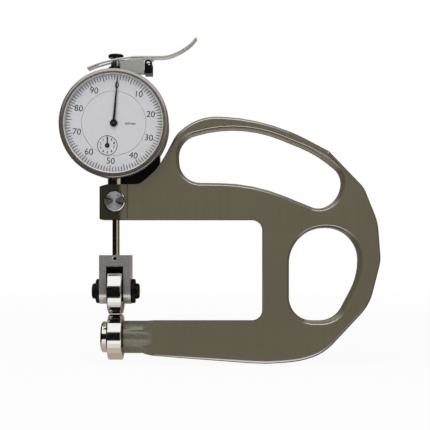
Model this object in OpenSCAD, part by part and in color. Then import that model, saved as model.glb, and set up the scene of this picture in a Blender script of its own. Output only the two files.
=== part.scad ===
// Roller dial thickness gauge: a deep C-shaped frame with a hand grip, a dial gauge clamped in its
// upper arm, two ball-bearing rollers that the sheet runs between, and a thumb lever that lifts the
// upper roller. Millimetres. X runs right into the throat, Y to the back, Z up.
// The origin is the nip between the two rollers, on the axis of the spindle.

/* [Rollers] */
// Outside diameter of each roller bearing
roller_d = 22; // [20:0.5:23]
// Width of each roller bearing
roller_w = 7; // [6:0.5:7.5]
// Bore of each roller bearing
roller_bore = 8; // [7:0.5:8]
// Gap between the rollers with the spindle down
nip_gap = 0.2; // [0.1:0.05:0.4]
// Number of balls in each bearing
ball_count = 7; // [6:1:8]
// Diameter of each ball
ball_d = 3.9; // [3.4:0.1:4]

/* [Frame] */
// Reach of the throat from the spindle to its back wall
throat_depth = 71.2; // [68:0.2:76]
// Height of the upper arm's underside above the nip
throat_top = 45.6; // [44:0.2:47]
// Thickness of the frame casting
frame_thick = 14; // [13:0.2:15]
// Height of the clamp block
block_h = 16.8; // [16:0.2:18]
// Half width of the clamp block on the open side
block_left = 7.2; // [6.6:0.1:8]
// Depth of the machined step on the clamp block's face
block_step = 0.3; // [0.1:0.1:0.5]
// Diameter of the round boss at the end of the lower arm
boss_d = 15.7; // [14:0.1:16]
// Diameter of the clamp screw's head
clamp_head_d = 10.2; // [8:0.2:11]

/* [Spindle and yoke] */
// Diameter of the spindle
spindle_d = 3.5; // [3.2:0.1:3.8]
// Width of the yoke across the axle
yoke_w = 15; // [14:0.2:16]
// Depth of the yoke from front to back
yoke_t = 12.4; // [11.6:0.2:13]
// Height of the yoke's web over the roller
yoke_web = 5.3; // [4.6:0.1:6]
// Diameter of the flange on each axle cap screw
cap_flange_d = 11.8; // [10:0.2:12]

/* [Dial gauge] */
// Gap between the bezel and the clamp block
dial_gap = 2.7; // [2.2:0.1:4]
// Outside radius of the bezel
bezel_r = 26; // [24:0.2:28]
// Step from the bezel in to the case
case_step = 0.5; // [0.3:0.1:0.8]
// Diameter of the clamped stem
stem_d = 8; // [7.5:0.1:8.4]
// Radius of the fixed inner dial disc
disc_r = 15.2; // [14.6:0.1:16]
// Gap between the main pointer's tip and the bezel
pointer_gap = 1.2; // [0.8:0.1:3]

/* [Lifting lever] */
// Distance of the lever's pivot from the spindle
pivot_x = 15.9; // [15.5:0.1:16.5]
// Height of the lever's pivot above the case
pivot_rise = 4; // [3.6:0.1:4.2]
// Thickness of the lever strip
strip_t = 0.8; // [0.6:0.1:0.9]
// Width of the lever strip
strip_w = 7; // [6.4:0.1:7.2]

/* [Hidden] */
$fn = 72;
// Radial clearance of fixed pieces in their seats
seat = 0.02;
// Radial clearance of turning and sliding fits
run = 0.04;
// Gap at the end of a pin or a screw in its hole
end_play = 0.1;
// How far a cut runs past the face that it opens
past = 1;

// Roller bearings
roller_r = roller_d / 2;
roller_half = roller_w / 2;
upper_z = roller_r + nip_gap / 2;
lower_z = -upper_z;
pitch_r = (roller_r + roller_bore / 2) / 2;
ball_r = ball_d / 2;
ball_play = 0.05;
groove_r = ball_r + ball_play;
land_share = 0.8;
inner_land = pitch_r - land_share * ball_r;
outer_land = pitch_r + land_share * ball_r;
ring_chamfer = 0.5;
shield_inset = 0.35;
shield_t = 0.25;
shield_gap = 0.3;
shield_out = roller_half - shield_inset;
shield_in = shield_out - shield_t;
cage_gap = 0.4;
cage_half = shield_in - cage_gap;
cage_t = 0.9;
pocket_play = 0.2;
pocket = ball_d + pocket_play;
axle_d = roller_bore - 2 * seat;
spacer_t = 0.6;
spacer_rim = 1.25;
spacer_d = roller_bore + 2 * spacer_rim;

// Frame: the bow is the scale that the throat's reach sets for the outlines round it
half_t = frame_thick / 2;
bow = throat_depth / 71.2;
throat_fillet = 5;
edge_round = 0.5;
// Share of an outline's side that the arcs at its two ends may take up
arc_share = 0.98;
block_top = throat_top + block_h;
block_seam = 6.4;
seam_w = 0.6;
seam_deep = 0.7;
block_slope = 3.4;
boss_face = roller_half + spacer_t;
boss_end = 15;
boss_tail_r = boss_d / 2 - 1.2;
arm_drop = 0.3;
arm_under = 0.2;
arm_top = lower_z + boss_d / 2 - arm_drop;
arm_start = 13;
flare_end = 20.5;
flare_small_r = boss_d / 2 - 0.5;
flare_large_r = boss_d / 2 + 3.6;
axle_grip = 14;
axle_reach = boss_face + axle_grip;
head_d = boss_d - 0.7;
head_t = 2.8;
head_round = 1.2;
clamp_drop = 8;
clamp_z = block_top - clamp_drop;
clamp_head_t = 1.3;
clamp_bevel = 0.5;
clamp_shank_d = 4;

// Yoke
slot_half = boss_face;
slot_room = 1.1;
slot_play = 0.6;
slot_top = upper_z + roller_r + slot_room;
yoke_top = slot_top + yoke_web;
spindle_floor = 0.6;
spindle_low = slot_top + spindle_floor + 0.2;
set_screw_d = 1.6;
set_screw_sink = 0.5;
set_screw_z = yoke_top - set_screw_d;
cap_flange_t = 2;
cap_edge = 0.7;
cap_foot = 0.4;
cap_dome_d = cap_flange_d * 0.64;
cap_dome_t = 2;
cap_crown = 0.7 * cap_dome_t;
cap_shank_d = 3;
cap_shank_from = slot_half + 0.5;

// Dial gauge: depths are measured from the spindle's axis, the front being negative
case_r = bezel_r - case_step;
dial_z = block_top + bezel_r + dial_gap;
case_wall = 2.1;
case_in = case_r - case_wall;
shelf_w = 1.4;
shelf_r = case_in - shelf_w;
spigot_r = case_r - 1.2;
lug_half = 3;
lug_gap = 0.2;
lug_left = stem_d / 2 + end_play;
lug_right = 0.823 * bezel_r;
case_front = -7;
case_back = 5;
cover_back = 6.5;
spigot_front = -9.2;
bezel_front = -12.5;
bezel_back = case_front - 0.1;
bezel_bore = spigot_r + run;
bezel_lip = 2.8;
window_r = bezel_r - bezel_lip;
pointer_len = window_r - pointer_gap;
crystal_front = -12;
crystal_back = -11.2;
pointer_front = -10.85;
pointer_back = -10.6;
small_front = -10.3;
small_back = -10.1;
dial_front = -9.9;
dial_back = -9.4;
dial_split = 0.15;
dial_hole_play = 0.3;
dial_seat_w = 2.2;
dial_seat_r = disc_r - 0.4;
plate_front = -6.8;
plate_back = -6;
shelf_back = plate_back + 1.4;
wheel_front = -5.5;
wheel_back = -4.9;
coil_front = -4.4;
coil_back = -3.9;
rear_front = -3.2;
rear_back = -2.2;
bridge_front = 2.4;
bridge_back = 3.4;
groove_front = case_front - 1.4;
groove_back = case_front - 0.9;
groove_depth = 0.5;
groove_play = 0.05;
dial_turn = 4.8;
rear_plate_r = shelf_r - 0.5;
stem_low = throat_top + 1.4;
stem_high = dial_z - case_in + 1.2;
stem_wall = 1.45;
stem_bore = stem_d - 2 * stem_wall;
bush_len = 5;
cover_screw_r = case_r - case_wall / 2;
cover_screw_d = 1;
cover_screw_from = 2.2;
cover_head_d = 1.8;
cover_head_t = 0.6;

// Tooth counts fix the reading: one turn of the main pointer is one millimetre of travel
rack_pitch = 0.625;
rack_line = 1.45;
pinion_teeth = 16;
wheel_teeth = 100;
centre_teeth = 10;
wheel_module = bezel_r / 130;
addendum = 0.2;
dedendum = 0.25;
arbor_d = 1.2;
pinion_r = rack_pitch * pinion_teeth / (2 * PI);
pinion_half = 1;
wheel_r = wheel_module * wheel_teeth / 2;
centre_r = wheel_module * centre_teeth / 2;
arbor_x = -(rack_line + pinion_r);
arbor_dz = -sqrt(pow(wheel_r + centre_r, 2) - pow(arbor_x, 2));
arbor_angle = atan2(arbor_dz, arbor_x);
travel = 10;
rack_over = 2;
pillar_x = 0.66 * case_in;
pillar_dz = 0.26 * case_in;
pillar_at = [for (x = [-pillar_x, pillar_x], z = [-pillar_dz, pillar_dz]) [x, z]];
pillar_d = 3;
tenon_d = pillar_d - 1;
screw_d = 1.4;
screw_in = 1.6;
screw_head_d = 1.8 * screw_d;
screw_head_t = 0.9;
screw_lap = 0.3;
bridge_left = -11.5;
bridge_foot = 4;
bridge_half = 4;
bridge_rim = 1.4;
bridge_screw_dz = 2.5;
bridge_screw_at = [for (side = [1, -1]) [bridge_left + bridge_foot / 2, arbor_dz + side * bridge_screw_dz]];
wheel_hub_d = 3;
wheel_hub_t = 0.8;
collet_d = 2.4;
collet_t = 1.2;
small_hub_d = 2.2;
small_len = 4.7;
small_root = 0.35;
small_tip = 0.12;
pointer_hub_d = 3.5;
pointer_root = 0.6;
pointer_tip = 0.19;
spring_x = 7.5;
spring_d = 3;
spring_wall = 0.5;
spring_lap = 0.05;
post_dz = -0.73 * case_in;
post_d = 2;
arm_dz = 0.15 * case_in;
arm_h = 4;
arm_front = rear_back + 0.3;
arm_back = 2.6;
arm_rim = 1;
arm_over = 2;
peg_d = 1.5;
peg_back = case_back - 0.4;
rail_half = 2.6;
rail_front = 3;
rail_rim = 1;
rail_low = dial_z + arm_dz;
rail_high = rail_low + arm_h + travel;

// Lifting lever
case_top = dial_z + case_r;
base_low = case_top + seat;
base_t = 0.8;
base_left = -5;
base_half = strip_w / 2 + 0.2;
pivot_z = case_top + pivot_rise;
pin_d = 1.5;
pin_dome = 0.5;
cheek_in = strip_w / 2 + 0.25;
cheek_t = 0.8;
cheek_out = cheek_in + cheek_t;
cheek_half = 1.8;
cheek_drop = cheek_t;
plate_left = 2.5;
plate_right = pivot_x - cheek_half - 0.2;
plate_drop = 1.2;
plate_rise = 2.2;
bush_d = 5;
bush_top = case_top + 5;
collar_low = base_low + base_t;
collar_h = 2.4;
collar_edge = 0.7;
collar_r = 4.6;
collar_top_r = 3.1;
cap_low = case_top + 7.4;
cap_t = 1.6;
cap_d = 7.4;
cap_roof = 0.5;
tip_d = 2.4;
strip_lift = 3.5;
strip_path = [
    [-13.6, -2], [-7.6, 0.3], [-1.2, 1.9], [4.75, 2.9], [9.7, strip_lift], [pivot_x + 3.2, strip_lift],
    [pivot_x + 8.9, 3.8], [pivot_x + 13.1, 5.2], [pivot_x + 16.8, 7.2], [pivot_x + 20.4, 9.8],
    [pivot_x + 23.1, 12.9]];
strip_slot = [-8.5, 6.9];
strip_slot_half = spindle_d / 2 + 0.35;
saddle_t = 0.7;
saddle_half = 2.3;
ear_t = 0.7;
ear_r = 1.5;

// Cylinders, cones, boxes and turned or flat shapes along each axis
module rod_x(x0, x1, d) translate([x0, 0, 0]) rotate([0, 90, 0]) cylinder(h = x1 - x0, d = d);
module rod_y(y0, y1, d) translate([0, y0, 0]) rotate([-90, 0, 0]) cylinder(h = y1 - y0, d = d);
module rod_z(z0, z1, d) translate([0, 0, z0]) cylinder(h = z1 - z0, d = d);
module cone_x(x0, x1, r0, r1)
    translate([x0, 0, 0]) rotate([0, 90, 0]) cylinder(h = x1 - x0, r1 = r0, r2 = r1);
module turned_x() rotate([0, 90, 0]) rotate_extrude() children();
module turned_y() rotate([-90, 0, 0]) rotate_extrude() children();
module turned_z() rotate_extrude() children();
module slab(y0, y1) translate([0, y1, 0]) rotate([90, 0, 0]) linear_extrude(y1 - y0) children();
module box(x0, x1, y0, y1, z0, z1) translate([x0, y0, z0]) cube([x1 - x0, y1 - y0, z1 - z0]);

// Places that several pieces share
module both_sides_x() for (side = [-1, 1]) scale([side, 1, 1]) children();
module both_sides_y() for (side = [-1, 1]) scale([1, side, 1]) children();
module at_lower() translate([0, 0, lower_z]) children();
module at_upper() translate([0, 0, upper_z]) children();
module at_dial() translate([0, 0, dial_z]) children();
module at_arbor() translate([arbor_x, 0, dial_z + arbor_dz]) children();
module at_spring_wheel() translate([-arbor_x, 0, dial_z - arbor_dz]) children();
module at_points(points) at_dial() for (p = points) translate([p.x, 0, p.y]) children();
module at_cover_screws() at_dial()
    for (a = [45:90:315]) rotate([0, a, 0]) translate([cover_screw_r, 0, 0]) children();

// Outline through corner points [x, y, radius], each corner rounded by its own arc,
// which is smaller where the sides beside it are too short for their two arcs
function unit(v) = v / norm(v);
function on_circle(r, angle) = r * [cos(angle), sin(angle)];
function wrapped(p, i) = p[(i + len(p)) % len(p)];
function flat_point(p, i) = [wrapped(p, i).x, wrapped(p, i).y];
function towards(p, i, step) = unit(flat_point(p, i + step) - flat_point(p, i));
function half_angle(p, i) = acos(towards(p, i, -1) * towards(p, i, 1)) / 2;
function arc_reach(p, i) = wrapped(p, i).z / tan(half_angle(p, i));
function side_share(p, i, step) =
    let (side = norm(flat_point(p, i + step) - flat_point(p, i)))
    arc_share * side / (arc_reach(p, i) + arc_reach(p, i + step));
function corner(p, i) =
    let (
        r = p[i].z * min(1, side_share(p, i, -1), side_share(p, i, 1)),
        b = flat_point(p, i),
        u = towards(p, i, -1),
        v = towards(p, i, 1),
        half = half_angle(p, i),
        centre = b + unit(u + v) * r / sin(half),
        from = b + u * r / tan(half) - centre,
        to = b + v * r / tan(half) - centre,
        a0 = atan2(from.y, from.x),
        sweep = (atan2(to.y, to.x) - a0 + 540) % 360 - 180,
        steps = max(2, ceil(abs(sweep) / 6)))
    [for (k = [0:steps]) centre + on_circle(r, a0 + sweep * k / steps)];
function rounded(p) = [for (i = [0:len(p) - 1]) each corner(p, i)];

// Gear outline with straight-sided teeth, the first tooth lying along the X axis
function gear(teeth, pitch_radius, root_share, tip_share) =
    let (
        flank = [
            [-root_share, -dedendum], [-tip_share, addendum],
            [tip_share, addendum], [root_share, -dedendum]])
    [for (i = [0:teeth - 1], f = flank) on_circle(pitch_radius + f.y, (i + f.x / 2) * 360 / teeth)];

// Outline of a strip of even thickness laid along a path of points
function strip_normal(p, i) =
    let (
        before = i > 0 ? unit(p[i] - p[i - 1]) : unit(p[1] - p[0]),
        after = i < len(p) - 1 ? unit(p[i + 1] - p[i]) : before,
        mean = unit(before + after))
    [-mean.y, mean.x] / (mean * before);
function strip(p, t) =
    let (last = len(p) - 1)
    concat(
        [for (i = [0:last]) p[i] + t / 2 * strip_normal(p, i)],
        [for (i = [last:-1:0]) p[i] - t / 2 * strip_normal(p, i)]);

// Frame outlines: each point is placed from an anchor, at the bow's scale
function placed(x, z, dx, dz, r) = [x + bow * dx, z + bow * dz, bow * r];
function by_dial(x, dz, r) = [x * bezel_r, dial_z - dz * bezel_r, r];
module frame_outline() {
    w = throat_depth;
    h = block_top;
    b = lower_z;
    polygon(rounded([
        [-block_left, throat_top, edge_round],
        [-block_left, h - 1, edge_round],
        [-block_left + block_slope, h, edge_round],
        [0.465 * bezel_r, h, 6],
        by_dial(0.792, 0.819, 20),
        by_dial(1.123, 0.173, 14.8),
        placed(w, h, -31.8, 33.4, 26),
        placed(w, h, -2.9, 32.1, 100),
        placed(w, h, 17.1, 24, 90),
        placed(w, h, 31.8, 16.2, 4),
        placed(w, h, 48.6, -1.3, 12),
        placed(w, throat_top, 55.3, -1.1, 26.8),
        placed(w, throat_top, 56.7, -19.8, 16.3),
        placed(w, b, 51.3, 15.6, 24.6),
        placed(w, b, 29.9, -7.3, 25),
        placed(w, b, 19.3, -11.4, 39),
        placed(w, b, 1.3, -13.2, 90),
        [arm_start, b - boss_d / 2 - arm_under, edge_round],
        [arm_start, arm_top, edge_round],
        [w, arm_top, throat_fillet],
        [w, throat_top, throat_fillet]]));
}
module grip_outline() {
    w = throat_depth;
    h = block_top;
    polygon(rounded([
        placed(w, h, -40.1, 1.1, 10.4),
        placed(w, h, -41, 21.5, 12),
        placed(w, h, -11.5, 30.4, 70),
        placed(w, h, 27.3, 14.5, 57),
        placed(w, h, 38.8, 4.2, 9),
        placed(w, h, 36.4, -7.4, 12),
        placed(w, h, 27, -12.2, 9),
        placed(w, h, -4.8, 0.8, 85)]));
}
module window_outline() {
    w = throat_depth;
    b = lower_z;
    polygon(rounded([
        placed(w, throat_top, 12.5, -4, 17),
        placed(w, throat_top, 46.1, -4, 15.5),
        placed(w, throat_top, 46.1, -27.4, 31),
        placed(w, b, 34.8, 7.9, 12),
        placed(w, b, 12.5, 7.9, 11.5)]));
}

module frame() color("dimgray") difference() {
    union() {
        difference() {
            slab(-half_t, half_t) difference() {
                frame_outline();
                grip_outline();
                window_outline();
            }
            at_lower() difference() {
                box(arm_start - past, flare_end, -frame_thick, frame_thick, -boss_d, boss_d);
                cone_x(arm_start - past, flare_end, flare_small_r, flare_large_r);
            }
        }
        at_lower() {
            rod_x(boss_face, boss_end, boss_d);
            cone_x(boss_end, boss_end + flare_end - arm_start, boss_d / 2, boss_tail_r);
        }
    }
    box(-block_left - past, block_seam, -half_t - past, -half_t + block_step,
        throat_top - past, block_top + past);
    box(block_seam - seam_w, block_seam, -half_t - past, -half_t + seam_deep,
        throat_top - past, block_top + past);
    rod_z(throat_top - past, block_top + past, stem_d + 2 * seat);
    translate([0, 0, clamp_z]) rod_y(-half_t - past, 0, clamp_shank_d + 2 * seat);
    at_lower() rod_x(boss_face - past, axle_reach + end_play, axle_d + 2 * seat);
}

module clamp_screw() color("silver") translate([0, 0, clamp_z]) {
    face = -half_t + block_step;
    front = face - clamp_head_t;
    tip = -stem_d / 2 - end_play;
    head = clamp_head_d / 2;
    shank = clamp_shank_d / 2;
    turned_y() polygon([
        [0, front], [head - clamp_bevel, front], [head, front + clamp_bevel],
        [head, face], [shank, face], [shank, tip], [0, tip]]);
}

// Ball bearing pieces, turned about X and centred on their own middle
module bearing_ring(r_in, r_out) {
    h = roller_half;
    c = ring_chamfer;
    turned_x() difference() {
        polygon([
            [r_in, -h + c], [r_in + c, -h], [r_out - c, -h], [r_out, -h + c],
            [r_out, h - c], [r_out - c, h], [r_in + c, h], [r_in, h - c]]);
        translate([pitch_r, 0]) circle(r = groove_r);
    }
}
module round_balls()
    for (i = [0:ball_count - 1]) rotate([i * 360 / ball_count, 0, 0]) translate([0, 0, pitch_r]) children();
module bearing_balls() round_balls() sphere(r = ball_r);
module bearing_cage() difference() {
    rod_x(-cage_half, cage_half, 2 * pitch_r + cage_t);
    rod_x(-cage_half - past, cage_half + past, 2 * pitch_r - cage_t);
    round_balls() cube(pocket, center = true);
}
module bearing_shields() both_sides_x() turned_x() polygon([
    [inner_land + shield_gap, shield_in], [outer_land, shield_in],
    [outer_land, shield_out], [inner_land + shield_gap, shield_out]]);
module spacer_pair() both_sides_x() difference() {
    rod_x(roller_half, roller_half + spacer_t, spacer_d);
    rod_x(roller_half - past, roller_half + spacer_t + past, roller_bore);
}

module lower_axle() color("silver") at_lower() {
    end = -boss_face - head_t;
    round_x = head_d / 2 - head_round;
    turned_x() polygon(concat(
        [[0, end]],
        [for (a = [0:15:90]) [round_x, end + head_round] + on_circle(head_round, a - 90)],
        [[head_d / 2, -boss_face], [axle_d / 2, -boss_face], [axle_d / 2, axle_reach], [0, axle_reach]]));
}
module lower_spacers() color("dimgray") at_lower() spacer_pair();
module lower_inner_ring() color("silver") at_lower() bearing_ring(roller_bore / 2, inner_land);
module lower_balls() color("white") at_lower() bearing_balls();
module lower_cage() color("goldenrod") at_lower() bearing_cage();
module lower_shields() color("gray") at_lower() bearing_shields();
module lower_roller() color("silver") at_lower() bearing_ring(outer_land, roller_r);

module yoke() color("darkgray") difference() {
    union() {
        box(-yoke_w / 2, yoke_w / 2, -yoke_t / 2, yoke_t / 2, upper_z, yoke_top);
        at_upper() rod_x(-yoke_w / 2, yoke_w / 2, yoke_t);
    }
    box(-slot_half, slot_half, -yoke_t, yoke_t, upper_z - yoke_t, upper_z);
    box(-slot_half, slot_half, -yoke_t, 0, upper_z - past, slot_top);
    at_upper() rod_x(-slot_half, slot_half, 2 * (roller_r + slot_play));
    at_upper() rod_x(-yoke_w, yoke_w, axle_d + 2 * seat);
    rod_z(slot_top + spindle_floor, yoke_top + past, spindle_d + 2 * seat);
    translate([0, 0, set_screw_z]) rod_y(-yoke_t, 0, set_screw_d + 2 * seat);
}
module yoke_set_screw() color("black") translate([0, 0, set_screw_z])
    rod_y(-yoke_t / 2 + set_screw_sink, -spindle_d / 2 - end_play, set_screw_d);
module upper_axle() color("silver") at_upper() difference() {
    rod_x(-yoke_w / 2, yoke_w / 2, axle_d);
    both_sides_x() rod_x(slot_half, yoke_w, cap_shank_d + 2 * seat);
}
module axle_cap_screws() color("black") at_upper() both_sides_x() {
    face = yoke_w / 2;
    top = face + cap_flange_t;
    rim = cap_flange_d / 2;
    shank = cap_shank_d / 2;
    crown_x = cap_dome_d / 2 - cap_crown;
    crown_z = top + cap_dome_t - cap_crown;
    turned_x() polygon(concat(
        [[0, cap_shank_from], [shank, cap_shank_from], [shank, face], [rim - cap_foot, face]],
        [[rim, face + cap_foot], [rim, top - cap_edge], [rim - cap_edge, top], [cap_dome_d / 2, top]],
        [for (a = [0:15:90]) [crown_x, crown_z] + on_circle(cap_crown, a)],
        [[0, top + cap_dome_t]]));
}
module upper_spacers() color("dimgray") at_upper() spacer_pair();
module upper_inner_ring() color("silver") at_upper() bearing_ring(roller_bore / 2, inner_land);
module upper_balls() color("white") at_upper() bearing_balls();
module upper_cage() color("goldenrod") at_upper() bearing_cage();
module upper_shields() color("gray") at_upper() bearing_shields();
module upper_roller() color("silver") at_upper() bearing_ring(outer_land, roller_r);

// The rack is cut into the spindle's left side, one notch facing the pinion's first tooth
module rack_notch() {
    tip = -rack_line - addendum;
    root = -rack_line + dedendum;
    wide = 0.375 * rack_pitch;
    narrow = 0.17 * rack_pitch;
    polygon([
        [tip - addendum, -wide], [tip, -wide], [root, -narrow],
        [root, narrow], [tip, wide], [tip - addendum, wide]]);
}
module spindle() color("silver") difference() {
    rack_z = dial_z + arbor_dz;
    union() {
        rod_z(spindle_low, cap_low, spindle_d);
        rod_z(cap_low - past, cap_low + cap_t - cap_roof - end_play, tip_d);
    }
    box(-spindle_d, -rack_line - addendum, -spindle_d, spindle_d,
        rack_z - travel - rack_over, rack_z + rack_over);
    slab(-spindle_d, spindle_d)
        for (k = [-ceil(travel / rack_pitch) - 2:2]) translate([0, rack_z + k * rack_pitch]) rack_notch();
}
module spindle_cap() color("black") difference() {
    foot = 0.4;
    bevel = 0.6;
    rim = cap_d / 2;
    high = cap_low + cap_t;
    turned_z() polygon([
        [0, cap_low], [rim - foot, cap_low], [rim, cap_low + foot],
        [rim, high - bevel], [rim - bevel, high], [0, high]]);
    rod_z(cap_low - past, high - cap_roof, tip_d + 2 * seat);
}
module spindle_arm() color("goldenrod") translate([0, 0, rail_low]) difference() {
    union() {
        box(-spindle_d / 2 - arm_rim, spring_x + arm_over, arm_front, arm_back, 0, arm_h);
        translate([0, 0, arm_h / 2]) rod_y(arm_back - past, peg_back, peg_d);
    }
    rod_z(-past, arm_h + past, spindle_d + 2 * seat);
}
module guide_rail() color("gold") difference() {
    box(-rail_half, rail_half, rail_front, case_back, rail_low - rail_rim, rail_high + rail_rim);
    box(-peg_d / 2 - run, peg_d / 2 + run, rail_front - past, case_back + past, rail_low, rail_high);
}
module return_spring() color("silver") translate([spring_x, 0, 0]) difference() {
    low = dial_z + post_dz + post_d / 2;
    rod_z(low, rail_low - spring_lap, spring_d);
    rod_z(low - past, rail_low + past, spring_d - 2 * spring_wall);
}
module spring_post() color("gold") translate([spring_x, 0, dial_z + post_dz])
    rod_y(rear_front, spring_d / 2, post_d);

module stem() color("silver") difference() {
    rod_z(stem_low, stem_high, stem_d);
    rod_z(stem_low - past, stem_high + past, stem_bore);
}
module stem_bush() color("gold") difference() {
    rod_z(stem_low, stem_low + bush_len, stem_bore - 2 * seat);
    rod_z(stem_low - past, stem_low + bush_len + past, spindle_d + 2 * run);
}
// The lug on the case fills the corner between the stem, the clamp block's top and the frame's slope
module case_lug() slab(-lug_half, lug_half) difference() {
    translate([lug_left, block_top - past]) square([lug_right - lug_left, dial_z - block_top]);
    translate([-lug_gap / 2, lug_gap]) frame_outline();
    translate([0, dial_z]) circle(r = (case_in + case_r) / 2);
}
module case() color("#222222") difference() {
    floor_r = spigot_r - groove_depth;
    union() {
        at_dial() turned_y() polygon([
            [spigot_r, spigot_front], [spigot_r, groove_front], [floor_r, groove_front],
            [floor_r, groove_back], [spigot_r, groove_back], [spigot_r, case_front],
            [case_r, case_front], [case_r, case_back], [case_in, case_back], [case_in, shelf_back],
            [shelf_r, shelf_back], [shelf_r, plate_back], [case_in, plate_back], [case_in, spigot_front]]);
        case_lug();
    }
    rod_z(dial_z - case_r - past, dial_z - shelf_r + past, stem_d + 2 * seat);
    rod_z(dial_z + shelf_r - past, case_top + past, bush_d + 2 * seat);
    at_cover_screws() rod_y(cover_screw_from - end_play, case_back + past, cover_screw_d + 2 * seat);
}
module back_cover() color("#222222") difference() {
    at_dial() rod_y(case_back, cover_back, 2 * case_r);
    at_cover_screws() {
        rod_y(case_back - past, cover_back + past, cover_screw_d + 2 * seat);
        rod_y(cover_back - cover_head_t, cover_back + past, cover_head_d + 2 * seat);
    }
}
module back_cover_screws() color("silver") at_cover_screws() {
    rod_y(cover_screw_from, cover_back - cover_head_t / 2, cover_screw_d);
    rod_y(cover_back - cover_head_t, cover_back, cover_head_d);
}
module top_bush() color("silver") difference() {
    low = dial_z + case_in - 0.8;
    rod_z(low, bush_top, bush_d);
    rod_z(low - past, bush_top + past, spindle_d + 2 * run);
}
module top_collar() color("black") difference() {
    high = collar_low + collar_h;
    turned_z() polygon([
        [0, collar_low], [collar_r, collar_low], [collar_r, collar_low + collar_edge],
        [collar_top_r, high], [0, high]]);
    rod_z(case_top, bush_top + past, bush_d + 2 * seat);
}

// Movement inside the case
module arbor_holes(y0, y1) at_dial() {
    rod_y(y0, y1, arbor_d + 2 * run);
    for (side = [1, -1]) translate([side * arbor_x, 0, side * arbor_dz]) rod_y(y0, y1, arbor_d + 2 * run);
}
module front_plate() color("gold") difference() {
    at_dial() rod_y(plate_front, plate_back, 2 * (case_in - seat));
    arbor_holes(plate_front - past, plate_back + past);
    at_points(pillar_at) rod_y(plate_front - past, plate_back + past, tenon_d + 2 * seat);
}
module rear_plate() color("gold") difference() {
    at_dial() rod_y(rear_front, rear_back, 2 * rear_plate_r);
    arbor_holes(rear_front - past, rear_back + past);
    at_points(concat(pillar_at, bridge_screw_at))
        rod_y(rear_front - past, rear_back + past, screw_d + 2 * seat);
    at_points([[spring_x, post_dz]]) rod_y(rear_front - past, rear_back + past, post_d + 2 * seat);
}
module movement_pillars() color("gold") at_points(pillar_at) difference() {
    union() {
        rod_y(plate_back, rear_front, pillar_d);
        rod_y(plate_front, plate_back + past, tenon_d);
    }
    rod_y(rear_front - screw_in - end_play, rear_front + past, screw_d + 2 * seat);
}
module pillar_screws() color("silver") at_points(pillar_at) {
    rod_y(rear_front - screw_in, rear_back + screw_lap, screw_d);
    rod_y(rear_back, rear_back + screw_head_t, screw_head_d);
}
module pinion_bridge() color("gold") difference() {
    low = arbor_dz - bridge_half;
    high = arbor_dz + bridge_half;
    at_dial() {
        box(bridge_left, arbor_x + bridge_rim, bridge_front, bridge_back, low, high);
        box(bridge_left, bridge_left + bridge_foot, rear_back, bridge_back, low, high);
    }
    at_arbor() rod_y(bridge_front - past, bridge_back + past, arbor_d + 2 * run);
    at_points(bridge_screw_at) rod_y(rear_back - past, bridge_back + past, screw_d + 2 * seat);
}
module bridge_screws() color("silver") at_points(bridge_screw_at) {
    rod_y(rear_front, bridge_back + screw_lap, screw_d);
    rod_y(bridge_back, bridge_back + screw_head_t, screw_head_d);
}
module rack_pinion() color("gold") at_arbor() {
    rod_y(small_front, bridge_back - end_play, arbor_d);
    slab(-pinion_half, pinion_half) polygon(gear(pinion_teeth, pinion_r, 0.5, 0.2));
}
module toothed_wheel(turn)
    slab(wheel_front, wheel_back) rotate(turn) polygon(gear(wheel_teeth, wheel_r, 0.5, 0.2));
module transfer_wheel() color("gold") at_arbor() difference() {
    union() {
        toothed_wheel(arbor_angle + 180 + 180 / wheel_teeth);
        rod_y(wheel_back - end_play, wheel_back + wheel_hub_t, wheel_hub_d);
    }
    rod_y(wheel_front - past, wheel_back + wheel_hub_t + past, arbor_d + 2 * seat);
}
module small_pointer() color("black") at_arbor() difference() {
    slab(small_front, small_back) union() {
        circle(d = small_hub_d);
        polygon([[-small_root, 0], [small_root, 0], [small_tip, small_len], [-small_tip, small_len]]);
    }
    rod_y(small_front - past, small_back + past, arbor_d + 2 * seat);
}
module centre_arbor() color("gold") at_dial() {
    lap = 0.2;
    rod_y(pointer_front, rear_back - end_play, arbor_d);
    slab(wheel_front - lap, wheel_back + lap)
        rotate(arbor_angle) polygon(gear(centre_teeth, centre_r, 0.6, 0.16));
}
module pointer() color("black") at_dial() difference() {
    slab(pointer_front, pointer_back) rotate(-dial_turn) union() {
        circle(d = pointer_hub_d);
        polygon([
            [-pointer_root, 0], [pointer_root, 0],
            [pointer_tip, pointer_len], [-pointer_tip, pointer_len]]);
    }
    rod_y(pointer_front - past, pointer_back + past, arbor_d + 2 * seat);
}
module hairspring_wheel() color("gold") at_spring_wheel() {
    toothed_wheel(arbor_angle + 180 / wheel_teeth);
    rod_y(plate_front + end_play, rear_back - end_play, arbor_d);
    rod_y(wheel_back - end_play, wheel_back + collet_t, collet_d);
}
// A flat spiral whose outer end is pinned to the rear plate by its own stud
module hairspring() color("steelblue") at_spring_wheel() {
    turns = 3;
    inner = 1.5;
    rise = 1.1;
    thick = 0.15;
    stud_d = 0.8;
    steps = 16;
    spiral = [for (k = [0:turns * steps]) on_circle(inner + rise * k / steps, 360 * k / steps)];
    slab(coil_front, coil_back) polygon(strip(spiral, thick));
    translate([inner + rise * turns, 0, 0]) rod_y(coil_front, rear_front, stud_d);
}

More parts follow.
